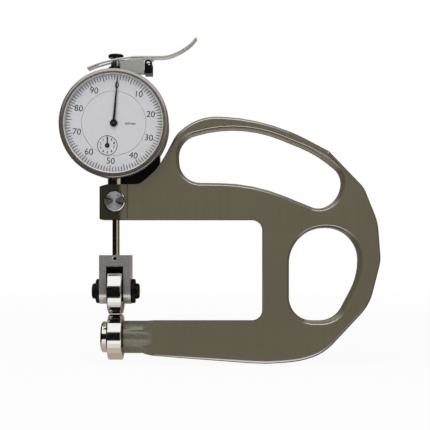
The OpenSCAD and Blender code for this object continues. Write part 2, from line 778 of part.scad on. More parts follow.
// Dial, bezel and crystal
module dial_seat() color("gold") at_dial() difference() {
    rod_y(dial_back, plate_front, 2 * dial_seat_r);
    rod_y(dial_back - past, plate_front + past, 2 * (dial_seat_r - dial_seat_w));
}
module dial_disc() color("gainsboro") difference() {
    hole_d = arbor_d + 2 * dial_hole_play;
    at_dial() rod_y(dial_front, dial_back, 2 * disc_r);
    at_dial() rod_y(dial_front - past, dial_back + past, hole_d);
    at_arbor() rod_y(dial_front - past, dial_back + past, hole_d);
}
module dial_ring() color("gainsboro") at_dial() difference() {
    rod_y(dial_front, dial_back, 2 * bezel_bore);
    rod_y(dial_front - past, dial_back + past, 2 * (disc_r + dial_split));
}
module bezel() color("silver") at_dial() turned_y() polygon([
    [bezel_bore, bezel_back], [bezel_bore, crystal_front],
    [window_r + 0.2, crystal_front], [window_r, crystal_front - 0.15],
    [window_r + 0.7, bezel_front + 0.1], [window_r + 1.2, bezel_front],
    [bezel_r - 1, bezel_front], [bezel_r - 0.3, bezel_front + 0.35], [bezel_r, bezel_front + 1],
    [bezel_r, bezel_back - 1], [bezel_r - 0.5, bezel_back]]);
module bezel_spring() color("silver") at_dial() difference() {
    rod_y(groove_front + groove_play, groove_back - groove_play, 2 * spigot_r);
    rod_y(groove_front - past, groove_back + past, 2 * (spigot_r - groove_depth));
}
module crystal() color("lightblue", 0.3) at_dial() rod_y(crystal_front, crystal_back, 2 * bezel_bore);

// Lifting lever at the top of the spindle
module lever_bracket() color("darkseagreen") difference() {
    union() {
        box(base_left, pivot_x + cheek_half - 0.2, -base_half, base_half, base_low, base_low + base_t);
        slab(-base_half - cheek_t, -base_half) polygon([
            [plate_left, base_low], [plate_right, base_low - plate_drop],
            [plate_right, pivot_z + plate_rise], [plate_left, pivot_z + plate_rise / 2]]);
    }
    rod_z(base_low - past, base_low + base_t + past, bush_d + 2 * seat);
}
module lever_clevis() color("black") difference() {
    lap = 0.1;
    union() {
        both_sides_y() translate([pivot_x, 0, 0]) {
            box(-cheek_half, cheek_half, cheek_in, cheek_out, base_low - cheek_drop, pivot_z);
            translate([0, 0, pivot_z]) rod_y(cheek_in, cheek_out, 2 * cheek_half);
        }
        box(pivot_x - cheek_half, pivot_x + cheek_half, -cheek_in - lap, cheek_in + lap,
            base_low - cheek_t, base_low);
    }
    translate([pivot_x, 0, pivot_z]) rod_y(-strip_w, strip_w, pin_d + 2 * seat);
}
module lever_pivot_pin() color("silver") translate([pivot_x, 0, pivot_z]) {
    rod_y(-cheek_out - end_play, cheek_out + screw_lap, pin_d);
    turned_y() polygon([
        [0, -cheek_out - pin_dome], [0.6, -cheek_out - 0.8 * pin_dome], [1, -cheek_out], [0, -cheek_out]]);
}
module lever() color("silver") difference() {
    slab(-strip_w / 2, strip_w / 2) translate([0, pivot_z]) polygon(strip(strip_path, strip_t));
    box(strip_slot[0], strip_slot[1], -strip_slot_half, strip_slot_half,
        pivot_z - strip_lift, pivot_z + 2 * strip_lift);
}
module lever_saddle() color("silver") translate([pivot_x, 0, pivot_z]) difference() {
    under = strip_lift - strip_t / 2;
    low = under - saddle_t;
    side = strip_w / 2;
    union() {
        box(-saddle_half, saddle_half, -side, side, low, under);
        both_sides_y() {
            box(-ear_r, ear_r, side - ear_t, side, 0, under);
            rod_y(side - ear_t, side, 2 * ear_r);
        }
    }
    rod_y(-strip_w, strip_w, pin_d + 2 * run);
}

frame();
clamp_screw();
lower_axle();
lower_spacers();
lower_inner_ring();
lower_balls();
lower_cage();
lower_shields();
lower_roller();
yoke();
yoke_set_screw();
upper_axle();
axle_cap_screws();
upper_spacers();
upper_inner_ring();
upper_balls();
upper_cage();
upper_shields();
upper_roller();
spindle();
spindle_cap();
spindle_arm();
guide_rail();
return_spring();
spring_post();
stem();
stem_bush();
case();
back_cover();
back_cover_screws();
top_bush();
top_collar();
front_plate();
rear_plate();
movement_pillars();
pillar_screws();
pinion_bridge();
bridge_screws();
rack_pinion();
transfer_wheel();
small_pointer();
centre_arbor();
pointer();
hairspring_wheel();
hairspring();
dial_seat();
dial_disc();
dial_ring();
bezel();
bezel_spring();
crystal();
lever_bracket();
lever_clevis();
lever_pivot_pin();
lever();
lever_saddle();
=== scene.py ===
"""Roller dial thickness gauge: the looks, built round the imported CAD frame, in metres."""
import logging
import math
from contextlib import contextmanager
from dataclasses import dataclass, replace
from enum import Enum
from typing import Any, Callable, Iterator, Mapping, Sequence

import bmesh
import bpy
from mathutils import Matrix, Vector


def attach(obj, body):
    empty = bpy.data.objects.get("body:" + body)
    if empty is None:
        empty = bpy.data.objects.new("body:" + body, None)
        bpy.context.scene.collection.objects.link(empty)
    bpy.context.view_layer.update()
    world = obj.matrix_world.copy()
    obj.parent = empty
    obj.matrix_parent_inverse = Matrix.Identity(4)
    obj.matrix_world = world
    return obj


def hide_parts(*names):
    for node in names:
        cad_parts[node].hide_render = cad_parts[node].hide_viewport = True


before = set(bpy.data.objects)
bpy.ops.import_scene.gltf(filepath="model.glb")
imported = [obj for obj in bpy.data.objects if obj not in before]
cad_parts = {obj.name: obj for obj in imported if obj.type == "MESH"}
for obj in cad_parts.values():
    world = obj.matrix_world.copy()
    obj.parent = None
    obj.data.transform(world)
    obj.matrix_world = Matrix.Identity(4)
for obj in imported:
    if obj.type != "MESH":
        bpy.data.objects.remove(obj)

LOG = logging.getLogger("gauge")
MM = 0.001

Piece = bpy.types.Object
Material = bpy.types.Material
Socket = bpy.types.NodeSocket
Edge = bmesh.types.BMEdge
Colour = tuple[float, float, float]
Spot = tuple[float, float, float]
Span = tuple[float, float]
ProfilePoint = tuple[float, float, float]

ORIGIN: Spot = (0.0, 0.0, 0.0)
DIAL_CENTRE: Spot = (0.0, 0.0, 91.1)
DIAL_Z = DIAL_CENTRE[2]

# Angles in degrees: smooth shading, an edge that gets broken, faces that count as one flat face.
SMOOTH_ANGLE = 32.0
EDGE_ANGLE = 60.0
FLAT_ANGLE = 0.3
# Lengths in millimetres: points that are merged, faces that count as level, cutters past a face.
MERGE_COPIED = 0.002
MERGE_TURNED = 0.001
LEVEL = 0.01
CUT_PAST = 1.0
# Fine patterns: broad noise under all of them, brushed lines, and how tone turns into gloss.
BROAD_SCALE, BROAD_DETAIL = 60.0, 3.0
FINE_SHARE, BROAD_SHARE = 0.6, 0.4
BRUSH_STRETCH = 0.03
TONE_SPAN: Span = (0.25, 0.75)
LEAST_ROUGH = 0.03


class Axis(Enum):
    """The direction that a turned piece or a pattern runs along."""

    X = 0
    Y = 1
    Z = 2

    @property
    def along(self) -> Vector:
        """Unit vector along the axis."""
        return Vector([1.0 if i == self.value else 0.0 for i in range(3)])

    @property
    def out(self) -> Vector:
        """Unit vector square to the axis, where a profile is drawn."""
        return Axis.X.along if self is Axis.Z else Axis.Z.along

    @property
    def others(self) -> list[str]:
        """Names of the two other axes."""
        return [axis.name for axis in Axis if axis is not self]


class Part(Enum):
    """What is picked of a mesh."""

    EDGE = "edges"
    FACE = "faces"


class Grain(Enum):
    """How the fine pattern of a finish lies on a piece, and the detail of its noise."""

    CAST = ("cast_grain", 5.0)
    TURNED = ("turned_lines", 3.0)
    BRUSHED = ("brushed_lines", 4.0)
    MOTTLED = ("fine_mottle", 2.0)


class Fading(Enum):
    """What decides where one finish gives way to another."""

    ALONG_X = "place along X"
    SIDEWAYS = "way the surface faces"


class Cloth(Enum):
    """Cloths of the walls and mats that the metal mirrors, with their colours."""

    BLACK = (0.006, 0.006, 0.006)
    BROWN = (0.09, 0.068, 0.044)
    TAN = (0.42, 0.38, 0.30)
    SAND = (0.26, 0.215, 0.165)
    LINEN = (0.76, 0.73, 0.69)
    CREAM = (0.52, 0.48, 0.42)


# ----- Work at the bench: selecting, turning, bevelling and finishing meshes -----

def deselect() -> None:
    """Goes back to object mode with nothing selected."""
    if bpy.context.mode != "OBJECT":
        bpy.ops.object.mode_set(mode="OBJECT")
    bpy.ops.object.select_all(action="DESELECT")


def take(piece: Piece) -> None:
    """Makes one piece the only selected one and the active one.

    Args:
        piece: The piece.
    """
    deselect()
    piece.select_set(True)
    bpy.context.view_layer.objects.active = piece


def select_mesh() -> None:
    """Selects the whole mesh in edit mode."""
    bpy.ops.mesh.select_all(action="SELECT")


@contextmanager
def editing(piece: Piece) -> Iterator[None]:
    """Edit mode on one piece, with nothing of it selected.

    Args:
        piece: The piece to edit.
    """
    take(piece)
    bpy.ops.object.mode_set(mode="EDIT")
    bpy.ops.mesh.select_mode(type="VERT")
    bpy.ops.mesh.select_all(action="DESELECT")
    yield
    bpy.ops.object.mode_set(mode="OBJECT")


@contextmanager
def drawing(name: str, start: Vector) -> Iterator[Piece]:
    """Edit mode on a new piece that is one point, selected, from which it is extruded.

    Args:
        name: Name of the new piece.
        start: Place of the point, in metres.
    """
    deselect()
    bpy.ops.mesh.primitive_plane_add(size=MM)
    piece = bpy.context.object
    piece.name = name
    with editing(piece):
        select_mesh()
        bpy.ops.mesh.merge(type="CENTER")
        bpy.ops.transform.translate(value=start)
        yield piece


def pick(piece: Piece, part: Part, wanted: Callable[[Any], bool]) -> int:
    """Selects the edges or faces that pass a test, and nothing else, in edit mode.

    Args:
        piece: The piece being edited.
        part: Whether edges or faces are picked.
        wanted: The test on one of them.

    Returns:
        How many were selected.
    """
    bpy.ops.mesh.select_mode(type=part.name)
    bpy.ops.mesh.select_all(action="DESELECT")
    picked = [item for item in getattr(bmesh.from_edit_mesh(piece.data), part.value) if wanted(item)]
    for item in picked:
        item.select_set(True)
    bmesh.update_edit_mesh(piece.data)
    return len(picked)


def sharp(edge: Edge, degrees: float = EDGE_ANGLE) -> bool:
    """True for an edge whose two faces meet at more than the given angle."""
    return len(edge.link_faces) == 2 and edge.calc_face_angle(0.0) > math.radians(degrees)


def middle(edge: Edge) -> Vector:
    """Middle of an edge, in millimetres."""
    return (edge.verts[0].co + edge.verts[1].co) / 2 / MM


def smooth(piece: Piece) -> None:
    """Shades a piece smooth, but for its sharper edges."""
    take(piece)
    bpy.ops.object.shade_smooth_by_angle(angle=math.radians(SMOOTH_ANGLE))


def settle(piece: Piece) -> None:
    """Applies a piece's place, turn and scale to its mesh."""
    take(piece)
    bpy.ops.object.transform_apply(location=True, rotation=True, scale=True)


def modify(piece: Piece, kind: str, settings: dict[str, Any]) -> None:
    """Adds a modifier to a piece and applies it.

    Args:
        piece: The piece.
        kind: Blender's name of the modifier's type.
        settings: Properties of the modifier.
    """
    take(piece)
    modifier = piece.modifiers.new(kind.lower(), kind)
    for key, value in settings.items():
        setattr(modifier, key, value)
    bpy.ops.object.modifier_apply(modifier=modifier.name)


def smooth_evenly(piece: Piece) -> None:
    """Shades a piece smooth, where large flat faces keep their own normals beside bevels."""
    smooth(piece)
    modify(piece, "WEIGHTED_NORMAL", {"keep_sharp": True})


def node_copy(name: str, node: str) -> Piece:
    """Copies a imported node's mesh as a new piece, merged and with its flat faces made whole.

    Args:
        name: Name of the new piece.
        node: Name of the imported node.

    Returns:
        The new piece.
    """
    piece = bpy.data.objects.new(name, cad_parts[node].data.copy())
    bpy.context.scene.collection.objects.link(piece)
    piece.data.materials.clear()
    take(piece)
    bpy.ops.mesh.customdata_custom_splitnormals_clear()
    with editing(piece):
        select_mesh()
        bpy.ops.mesh.remove_doubles(threshold=MERGE_COPIED * MM)
        bpy.ops.mesh.dissolve_limited(angle_limit=math.radians(FLAT_ANGLE))
    return piece


def bevel(piece: Piece, wanted: Callable[[Edge], bool], width: float, segments: int = 2,
          clamp: bool = True, material: int = -1) -> None:
    """Bevels the edges of a piece that pass a test.

    Args:
        piece: The piece to bevel.
        wanted: The test on an edge.
        width: Width of the bevel in millimetres.
        segments: Number of steps across the bevel.
        clamp: Whether short edges beside it may make the whole bevel narrower.
        material: Index of the bevel's material, or -1 for that of the faces beside it.
    """
    with editing(piece):
        if pick(piece, Part.EDGE, wanted):
            bpy.ops.mesh.bevel(offset=width * MM, segments=segments, profile=0.5, affect="EDGES",
                               clamp_overlap=clamp, material=material)


def eased(points: Sequence[ProfilePoint], steps: int = 4) -> list[Span]:
    """Rounds the corners of a profile.

    Args:
        points: Radius, place along the axis and length of the rounding at each corner.
        steps: Number of steps in each rounding.

    Returns:
        Radius and place along the axis of each point of the rounded profile.
    """
    line: list[Span] = []
    for i, (radius, along, ease) in enumerate(points):
        if ease == 0 or i in (0, len(points) - 1):
            line.append((radius, along))
            continue
        corner = Vector((radius, along))
        start, end = (corner + (Vector(points[j][:2]) - corner).normalized() * ease
                      for j in (i - 1, i + 1))
        for k in range(steps + 1):
            t = k / steps
            at = start * (1 - t) ** 2 + corner * 2 * t * (1 - t) + end * t ** 2
            line.append((at.x, at.y))
    return line


def turned(name: str, points: Sequence[ProfilePoint], axis: Axis, centre: Spot,
           steps: int = 96) -> Piece:
    """Turns a profile round an axis, as on a lathe: a point is extruded along it and then spun.

    Args:
        name: Name of the new piece.
        points: Radius, place along the axis and rounding of each corner, in millimetres.
        axis: The axis that the piece is turned about.
        centre: A point on the axis, in millimetres.
        steps: Number of steps round the axis.

    Returns:
        The new piece.
    """
    pole = Vector(centre) * MM
    path = [pole + (axis.out * r + axis.along * a) * MM for r, a in eased(points)]
    with drawing(name, path[0]) as piece:
        for here, there in zip(path, path[1:]):
            bpy.ops.mesh.extrude_vertices_move(TRANSFORM_OT_translate={"value": there - here})
        select_mesh()
        bpy.ops.mesh.spin(steps=steps, angle=2 * math.pi, center=pole, axis=axis.along)
        select_mesh()
        bpy.ops.mesh.remove_doubles(threshold=MERGE_TURNED * MM)
        bpy.ops.mesh.normals_make_consistent(inside=False)
    smooth(piece)
    return piece


def block(name: str, low: Spot, high: Spot) -> Piece:
    """Adds a cube primitive at its size and place, with its place in its mesh.

    Args:
        name: Name of the new piece.
        low: Lowest corner in millimetres.
        high: Highest corner in millimetres.

    Returns:
        The new piece.
    """
    size = Vector(high) - Vector(low)
    deselect()
    bpy.ops.mesh.primitive_cube_add(size=1, location=(Vector(low) + size / 2) * MM, scale=size * MM)
    piece = bpy.context.object
    piece.name = name
    settle(piece)
    return piece


def cut_away(piece: Piece, low: Spot, high: Spot) -> None:
    """Cuts a block out of a piece.

    Args:
        piece: The piece.
        low: Lowest corner of the block in millimetres.
        high: Its highest corner.
    """
    tool = block("cutter", low, high)
    modify(piece, "BOOLEAN", {"operation": "DIFFERENCE", "solver": "EXACT", "object": tool})
    bpy.data.objects.remove(tool)


def joined(name: str, pieces: Sequence[Piece]) -> Piece:
    """Joins several pieces into one.

    Args:
        name: Name of the joined piece.
        pieces: The pieces, of which the first keeps its place.

    Returns:
        The joined piece.
    """
    deselect()
    for piece in pieces:
        piece.select_set(True)
    bpy.context.view_layer.objects.active = pieces[0]
    bpy.ops.object.join()
    pieces[0].name = name
    return pieces[0]


def turned_copy(piece: Piece, turn: Matrix) -> Piece:
    """Copies a piece with its own mesh.

    Args:
        piece: The piece to copy.
        turn: The copy's move in the shared frame.

    Returns:
        The copy.
    """
    copy = bpy.data.objects.new(piece.name + ".copy", piece.data.copy())
    bpy.context.scene.collection.objects.link(copy)
    copy.matrix_world = turn
    settle(copy)
    return copy


def about(axis: Axis, degrees: float, centre: Spot) -> Matrix:
    """Matrix of a turn about an axis through a point in millimetres."""
    spot = Matrix.Translation(Vector(centre) * MM)
    return spot @ Matrix.Rotation(math.radians(degrees), 4, axis.along) @ spot.inverted()


# ----- Finishes -----

class Graph:
    """Adds and links the shader nodes of one node tree."""

    def __init__(self, tree: bpy.types.NodeTree) -> None:
        """Keeps the tree that nodes are added to."""
        self.tree = tree

    @classmethod
    def fresh(cls, owner: Material | bpy.types.World) -> "Graph":
        """Starts the nodes of a material or a world from none.

        Args:
            owner: The material or the world.

        Returns:
            The graph of its tree.
        """
        owner.use_nodes = True
        owner.node_tree.nodes.clear()
        return cls(owner.node_tree)

    def add(self, kind: str, settings: dict[str, Any] | None = None,
            values: dict[str | int, Any] | None = None) -> bpy.types.Node:
        """Adds a node.

        Args:
            kind: Blender's name of the node's type.
            settings: Properties of the node itself.
            values: Input values, or sockets to link them from.

        Returns:
            The new node.
        """
        node = self.tree.nodes.new(kind)
        for key, value in (settings or {}).items():
            setattr(node, key, value)
        for key, value in (values or {}).items():
            if isinstance(value, Socket):
                self.tree.links.new(value, node.inputs[key])
            else:
                node.inputs[key].default_value = value
        return node

    def maths(self, operation: str, first: Any, second: Any = 0.0) -> Socket:
        """Adds a math node and returns its output."""
        return self.add("ShaderNodeMath", {"operation": operation}, {0: first, 1: second}).outputs[0]

    def vectors(self, operation: str, first: Any, second: Any = ORIGIN) -> Socket:
        """Adds a vector math node and returns its vector."""
        values = {0: first, 1: second}
        return self.add("ShaderNodeVectorMath", {"operation": operation}, values).outputs[0]

    def blend(self, share: Any, first: Any, second: Any, colour: bool = False) -> Socket:
        """Mixes two values or two colours.

        Args:
            share: Share of the second.
            first: The first value, colour or socket.
            second: The second one.
            colour: Whether they are colours.

        Returns:
            The mix.
        """
        low = 6 if colour else 2
        node = self.add("ShaderNodeMix", {"data_type": "RGBA" if colour else "FLOAT"},
                        {0: share, low: first, low + 1: second})
        return node.outputs[2 if colour else 0]

    def remap(self, value: Any, span: Span, onto: Span = (0.0, 1.0), kind: str = "LINEAR") -> Socket:
        """Maps one span of values on another.

        Args:
            value: The value to map.
            span: Its lowest and highest value.
            onto: What these become.
            kind: Blender's name of the way between them.

        Returns:
            The mapped value.
        """
        node = self.add("ShaderNodeMapRange", {"interpolation_type": kind}, {
            "Value": value, "From Min": span[0], "From Max": span[1],
            "To Min": onto[0], "To Max": onto[1]})
        return node.outputs[0]

    def noise(self, vector: Any, scale: Any, detail: float) -> Socket:
        """Adds a noise texture and returns its value."""
        values = {"Vector": vector, "Scale": scale, "Detail": detail}
        return self.add("ShaderNodeTexNoise", None, values).outputs[0]

    def grain(self, grain: Grain, axis: Axis, fineness: float, centre: Spot) -> Mapping[str, Socket]:
        """Places the node group of a fine pattern.

        Args:
            grain: Which pattern.
            axis: The axis that its lines run along or round.
            fineness: How fine it is.
            centre: A point on the axis, in millimetres.

        Returns:
            The group's outputs, Tone and Height.
        """
        return self.add("ShaderNodeGroup", {"node_tree": grain_group(grain, axis)},
                        {"Fineness": fineness, "Centre": Vector(centre) * MM}).outputs

    def mixed(self, share: Any, first: bpy.types.Node, second: bpy.types.Node) -> bpy.types.Node:
        """Adds a shader that mixes two others."""
        values = {0: share, 1: first.outputs[0], 2: second.outputs[0]}
        return self.add("ShaderNodeMixShader", None, values)

    def show(self, shader: bpy.types.Node, output: str = "ShaderNodeOutputMaterial") -> None:
        """Links a shader to a new output node."""
        self.add(output, None, {"Surface": shader.outputs[0]})


def grain_group(grain: Grain, axis: Axis) -> bpy.types.NodeTree:
    """Builds, once, the node group of a fine pattern.

    Args:
        grain: Which pattern.
        axis: The axis that its lines run along or round.

    Returns:
        A group with inputs Fineness and Centre and outputs Tone and Height.
    """
    label, detail = grain.value
    name = f"{label}_{axis.name.lower()}"
    if name in bpy.data.node_groups:
        return bpy.data.node_groups[name]
    tree = bpy.data.node_groups.new(name, "ShaderNodeTree")
    for socket, way, kind in (("Fineness", "INPUT", "Float"), ("Centre", "INPUT", "Vector"),
                              ("Tone", "OUTPUT", "Float"), ("Height", "OUTPUT", "Float")):
        tree.interface.new_socket(socket, in_out=way, socket_type=f"NodeSocket{kind}")
    graph = Graph(tree)
    given = graph.add("NodeGroupInput")
    place = graph.add("ShaderNodeTexCoord").outputs["Object"]
    scale = graph.maths("MULTIPLY", given.outputs["Fineness"], 1 / MM)
    line = graph.vectors("SUBTRACT", place, given.outputs["Centre"])
    if grain is Grain.TURNED:
        parts = graph.add("ShaderNodeSeparateXYZ", None, {0: line}).outputs
        first, second = (graph.maths("POWER", parts[other], 2.0) for other in axis.others)
        radius = graph.maths("SQRT", graph.maths("ADD", first, second))
        line = graph.add("ShaderNodeCombineXYZ", None, {"X": radius, "Y": parts[axis.name]}).outputs[0]
    elif grain is Grain.BRUSHED:
        line = graph.vectors("MULTIPLY", line,
                             [BRUSH_STRETCH if i == axis.value else 1.0 for i in range(3)])
    fine = graph.noise(line, scale, detail)
    broad = graph.noise(place, BROAD_SCALE, BROAD_DETAIL)
    tone = graph.maths("ADD", graph.maths("MULTIPLY", fine, FINE_SHARE),
                       graph.maths("MULTIPLY", broad, BROAD_SHARE))
    graph.add("NodeGroupOutput", None, {"Tone": tone, "Height": fine})
    return tree


@dataclass(frozen=True)
class Fade:
    """A second colour and gloss, without metal, that a finish gives way to.

    It starts and ends at places along X in millimetres, or at a share of how far the surface
    faces sideways.
    """

    colour: Colour
    roughness: float
    by: Fading
    start: float
    end: float

    def share(self, graph: Graph) -> Socket:
        """Builds the share of the second finish over the surface.

        Args:
            graph: The material's nodes.

        Returns:
            A value from 0 to 1.
        """
        spots = graph.add("ShaderNodeTexCoord").outputs
        vector, unit = spots["Object"], MM
        if self.by is Fading.SIDEWAYS:
            vector = graph.vectors("NORMALIZE", graph.vectors("MULTIPLY", spots["Normal"], (1, 0, 1)))
            unit = 1.0
        across = graph.add("ShaderNodeSeparateXYZ", None, {0: vector}).outputs["X"]
        if self.by is Fading.SIDEWAYS:
            across = graph.maths("ABSOLUTE", across)
        return graph.remap(across, (self.start * unit, self.end * unit), kind="SMOOTHSTEP")


@dataclass(frozen=True)
class Finish:
    """A solid finish: its colour, gloss and fine pattern."""

    name: str
    slot: str
    colour: Colour
    roughness: float
    metallic: float
    grain: Grain
    fineness: float
    contrast: float
    gloss_swing: float
    relief: float
    shine: float = 0.5
    fade: Fade | None = None

    def shades(self, graph: Graph, tone: Socket, colour: Colour) -> Socket:
        """Varies a colour with the fine pattern's tone."""
        dark, pale = ([min(1.0, c * (1 + swing)) for c in colour] + [1.0]
                      for swing in (-self.contrast, self.contrast))
        return graph.blend(tone, dark, pale, True)

    def material(self, axis: Axis = Axis.Z, centre: Spot = ORIGIN) -> Material:
        """Builds the material, once for each direction and centre.

        Args:
            axis: The axis that the pattern runs along or round.
            centre: A point on that axis, in millimetres.

        Returns:
            The material.
        """
        name = "_".join([self.name, axis.name.lower(), *(str(round(c)) for c in centre)])
        if name in bpy.data.materials:
            return bpy.data.materials[name]
        material = bpy.data.materials.new(name)
        graph = Graph.fresh(material)
        lines = graph.grain(self.grain, axis, self.fineness, centre)
        tone, height = lines["Tone"], lines["Height"]
        colour, metallic = self.shades(graph, tone, self.colour), self.metallic
        gloss = graph.remap(tone, TONE_SPAN, (max(LEAST_ROUGH, self.roughness - self.gloss_swing),
                                              self.roughness + self.gloss_swing))
        if self.fade:
            share = self.fade.share(graph)
            colour = graph.blend(share, colour, self.shades(graph, tone, self.fade.colour), True)
            gloss = graph.blend(share, gloss, self.fade.roughness)
            height = graph.maths("MULTIPLY", height, graph.maths("SUBTRACT", 1.0, share))
            if metallic:
                metallic = graph.blend(share, metallic, 0.0)
        bump = graph.add("ShaderNodeBump", None, {
            "Strength": 1.0, "Distance": self.relief * MM, "Height": height})
        graph.show(graph.add("ShaderNodeBsdfPrincipled", None, {
            "Base Color": colour, "Metallic": metallic, "Roughness": gloss,
            "Specular IOR Level": self.shine, "Normal": bump.outputs[0]}))
        return material


@dataclass(frozen=True)
class ClearGlass:
    """The clear crystal over the dial, which lets light through to it."""

    name: str = "clear_crystal"
    colour: Colour = (0.97, 0.98, 0.98)
    bend: float = 1.45
    fineness: float = 0.4
    tone_span: Span = (0.3, 0.7)
    rough_span: Span = (0.0, 0.02)

    def material(self) -> Material:
        """Builds the glass, which casts no shadow on the dial.

        Returns:
            The material.
        """
        material = bpy.data.materials.new(self.name)
        graph = Graph.fresh(material)
        lines = graph.grain(Grain.MOTTLED, Axis.Y, self.fineness, ORIGIN)
        glass = graph.add("ShaderNodeBsdfPrincipled", None, {
            "Base Color": (*self.colour, 1.0), "Transmission Weight": 1.0, "IOR": self.bend,
            "Roughness": graph.remap(lines["Tone"], self.tone_span, self.rough_span)})
        path = graph.add("ShaderNodeLightPath").outputs
        soft = graph.maths("MAXIMUM", path["Is Shadow Ray"], path["Is Diffuse Ray"])
        graph.show(graph.mixed(soft, glass, graph.add("ShaderNodeBsdfTransparent")))
        return material


ENAMEL = Finish("grey_brown_enamel", "paint", (0.112, 0.098, 0.065), 0.42, 0.0,
                Grain.BRUSHED, 1.1, 0.14, 0.06, 0.003, shine=0.25)


def to_enamel(by: Fading, start: float, end: float) -> Fade:
    """Lets a finish of the casting give way to its plain enamel."""
    return Fade(ENAMEL.colour, ENAMEL.roughness, by, start, end)


# Painted shade: the clamp block's left part is painted dark and fades to the plain enamel between 1.6 and
# 4.0 mm along X.
SHADED = Finish("dark_enamel", "paint", (0.024, 0.022, 0.015), 0.40, 0.0,
                Grain.BRUSHED, 1.1, 0.20, 0.06, 0.003, 0.25, to_enamel(Fading.ALONG_X, 1.6, 4.0))
ROUGH = Finish("rough_cast_enamel", "paint", (0.21, 0.195, 0.155), 0.24, 0.5,
               Grain.CAST, 1.0, 0.30, 0.12, 0.12, 0.3, to_enamel(Fading.ALONG_X, 14.5, 19.0))
# Painted highlight: the rounded rims get a pale metallic colour where they face up or down, which stands in
# for bright highlight lines. They fade to plain enamel where they face sideways.
RIM = Finish("worn_glossy_rim", "paint", (0.62, 0.59, 0.53), 0.14, 0.85,
             Grain.MOTTLED, 2.0, 0.12, 0.05, 0.004, 0.25, to_enamel(Fading.SIDEWAYS, 0.30, 0.88))
# The same painted highlight, fading out sooner, for the upward rims at the upper right.
TAPER = replace(RIM, name="tapering_rim", fade=to_enamel(Fading.SIDEWAYS, 0.10, 0.44))
POLISHED = Finish("polished_steel", "polished", (0.90, 0.88, 0.85), 0.13, 1.0,
                  Grain.TURNED, 6.0, 0.06, 0.04, 0.0006)
BRIGHT = Finish("bright_strip", "polished", (0.74, 0.72, 0.70), 0.20, 0.55,
                Grain.BRUSHED, 7.0, 0.10, 0.05, 0.001)
SATIN = Finish("satin_steel", "satin", (0.76, 0.735, 0.69), 0.30, 0.80,
               Grain.BRUSHED, 6.0, 0.12, 0.08, 0.002)
LATHED = Finish("lathe_turned_steel", "satin", (0.86, 0.86, 0.87), 0.14, 1.0,
                Grain.TURNED, 3.2, 0.10, 0.05, 0.004)
BEZEL = Finish("satin_chrome", "polished", (0.45, 0.415, 0.37), 0.24, 0.86,
               Grain.TURNED, 5.0, 0.08, 0.06, 0.001)
LIP = Finish("pale_chrome_lip", "polished", (0.62, 0.60, 0.57), 0.35, 0.3,
             Grain.TURNED, 5.0, 0.06, 0.06, 0.001)
BRACKET = Finish("zinc_plated_sheet", "satin", (0.42, 0.45, 0.40), 0.40, 0.5,
                 Grain.BRUSHED, 6.0, 0.12, 0.06, 0.002)
SHIELD = Finish("dark_shield", "satin", (0.03, 0.03, 0.03), 0.34, 0.6,
                Grain.TURNED, 5.0, 0.15, 0.06, 0.001, shine=0.1)
# Painted shade: the fork's inner walls are painted near black, where the slot lies in shadow.
SLOT = Finish("dark_oiled_slot", "satin", (0.010, 0.010, 0.010), 0.60, 0.0,
              Grain.MOTTLED, 4.0, 0.3, 0.1, 0.002, shine=0.08)
BRONZE = Finish("dark_bronze", "brass", (0.13, 0.075, 0.05), 0.34, 0.9,
                Grain.TURNED, 5.0, 0.15, 0.08, 0.002)
BLACK = Finish("black_oxide", "black", (0.005, 0.005, 0.006), 0.26, 0.0,
               Grain.MOTTLED, 5.0, 0.35, 0.08, 0.003, shine=0.12)
LACQUER = Finish("black_lacquer", "black", (0.007, 0.007, 0.008), 0.28, 0.0,
                 Grain.CAST, 2.5, 0.30, 0.06, 0.004, shine=0.14)
BRASS = Finish("turned_brass", "brass", (0.60, 0.44, 0.19), 0.28, 1.0,
               Grain.TURNED, 5.0, 0.12, 0.08, 0.002)
SPRING = Finish("blued_spring", "satin", (0.20, 0.23, 0.30), 0.25, 1.0,
                Grain.MOTTLED, 4.0, 0.12, 0.05, 0.001)
DIAL = Finish("silver_white_dial", "dial", (0.556, 0.550, 0.573), 0.55, 0.0,
              Grain.BRUSHED, 4.0, 0.04, 0.05, 0.0008)
INK = Finish("printed_ink", "black", (0.010, 0.010, 0.012), 0.60, 0.0,
             Grain.MOTTLED, 6.0, 0.25, 0.06, 0.0004, shine=0.1)


def dress(piece: Piece, material: Material) -> None:
    """Gives a piece or a node one material."""
    piece.data.materials.clear()
    piece.data.materials.append(material)


def dress_nodes(material: Material, *nodes: str) -> None:
    """Gives CAD nodes that keep their shapes one material."""
    for node in nodes:
        dress(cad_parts[node], material)


def inlay(piece: Piece, material: Material,
          wanted: Callable[[bpy.types.MeshPolygon], bool]) -> None:
    """Gives the faces of a dressed piece that pass a test a second material.

    Args:
        piece: The piece, which has one material.
        material: The second one.
        wanted: The test on a face.
    """
    piece.data.materials.append(material)
    for face in piece.data.polygons:
        if wanted(face):
            face.material_index = 1


def place(piece: Piece, body: str, slot: str, nodes: Sequence[str] = ()) -> None:
    """Lets a piece ride on a body and hides the CAD nodes that it stands for.

    Args:
        piece: The finished piece.
        body: The CAD body that it moves with.
        slot: The record's material slot; not used.
        nodes: CAD nodes that it replaces.
    """
    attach(piece, body)
    if nodes:
        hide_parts(*nodes)
    LOG.info("piece %s: %d faces, rides on %s", piece.name, len(piece.data.polygons), body)


def fit(piece: Piece, body: str, finish: Finish, nodes: Sequence[str] = (),
        axis: Axis = Axis.Z, centre: Spot = ORIGIN) -> None:
    """Dresses a piece in one finish and places it.

    Args:
        piece: The finished piece.
        body: The CAD body that it moves with.
        finish: Its finish.
        nodes: CAD nodes that it replaces.
        axis: The axis that the finish's pattern runs along or round.
        centre: A point on that axis, in millimetres.
    """
    dress(piece, finish.material(axis, centre))
    place(piece, body, finish.slot, nodes)


# ----- Sub-assemblies, with sizes in millimetres -----

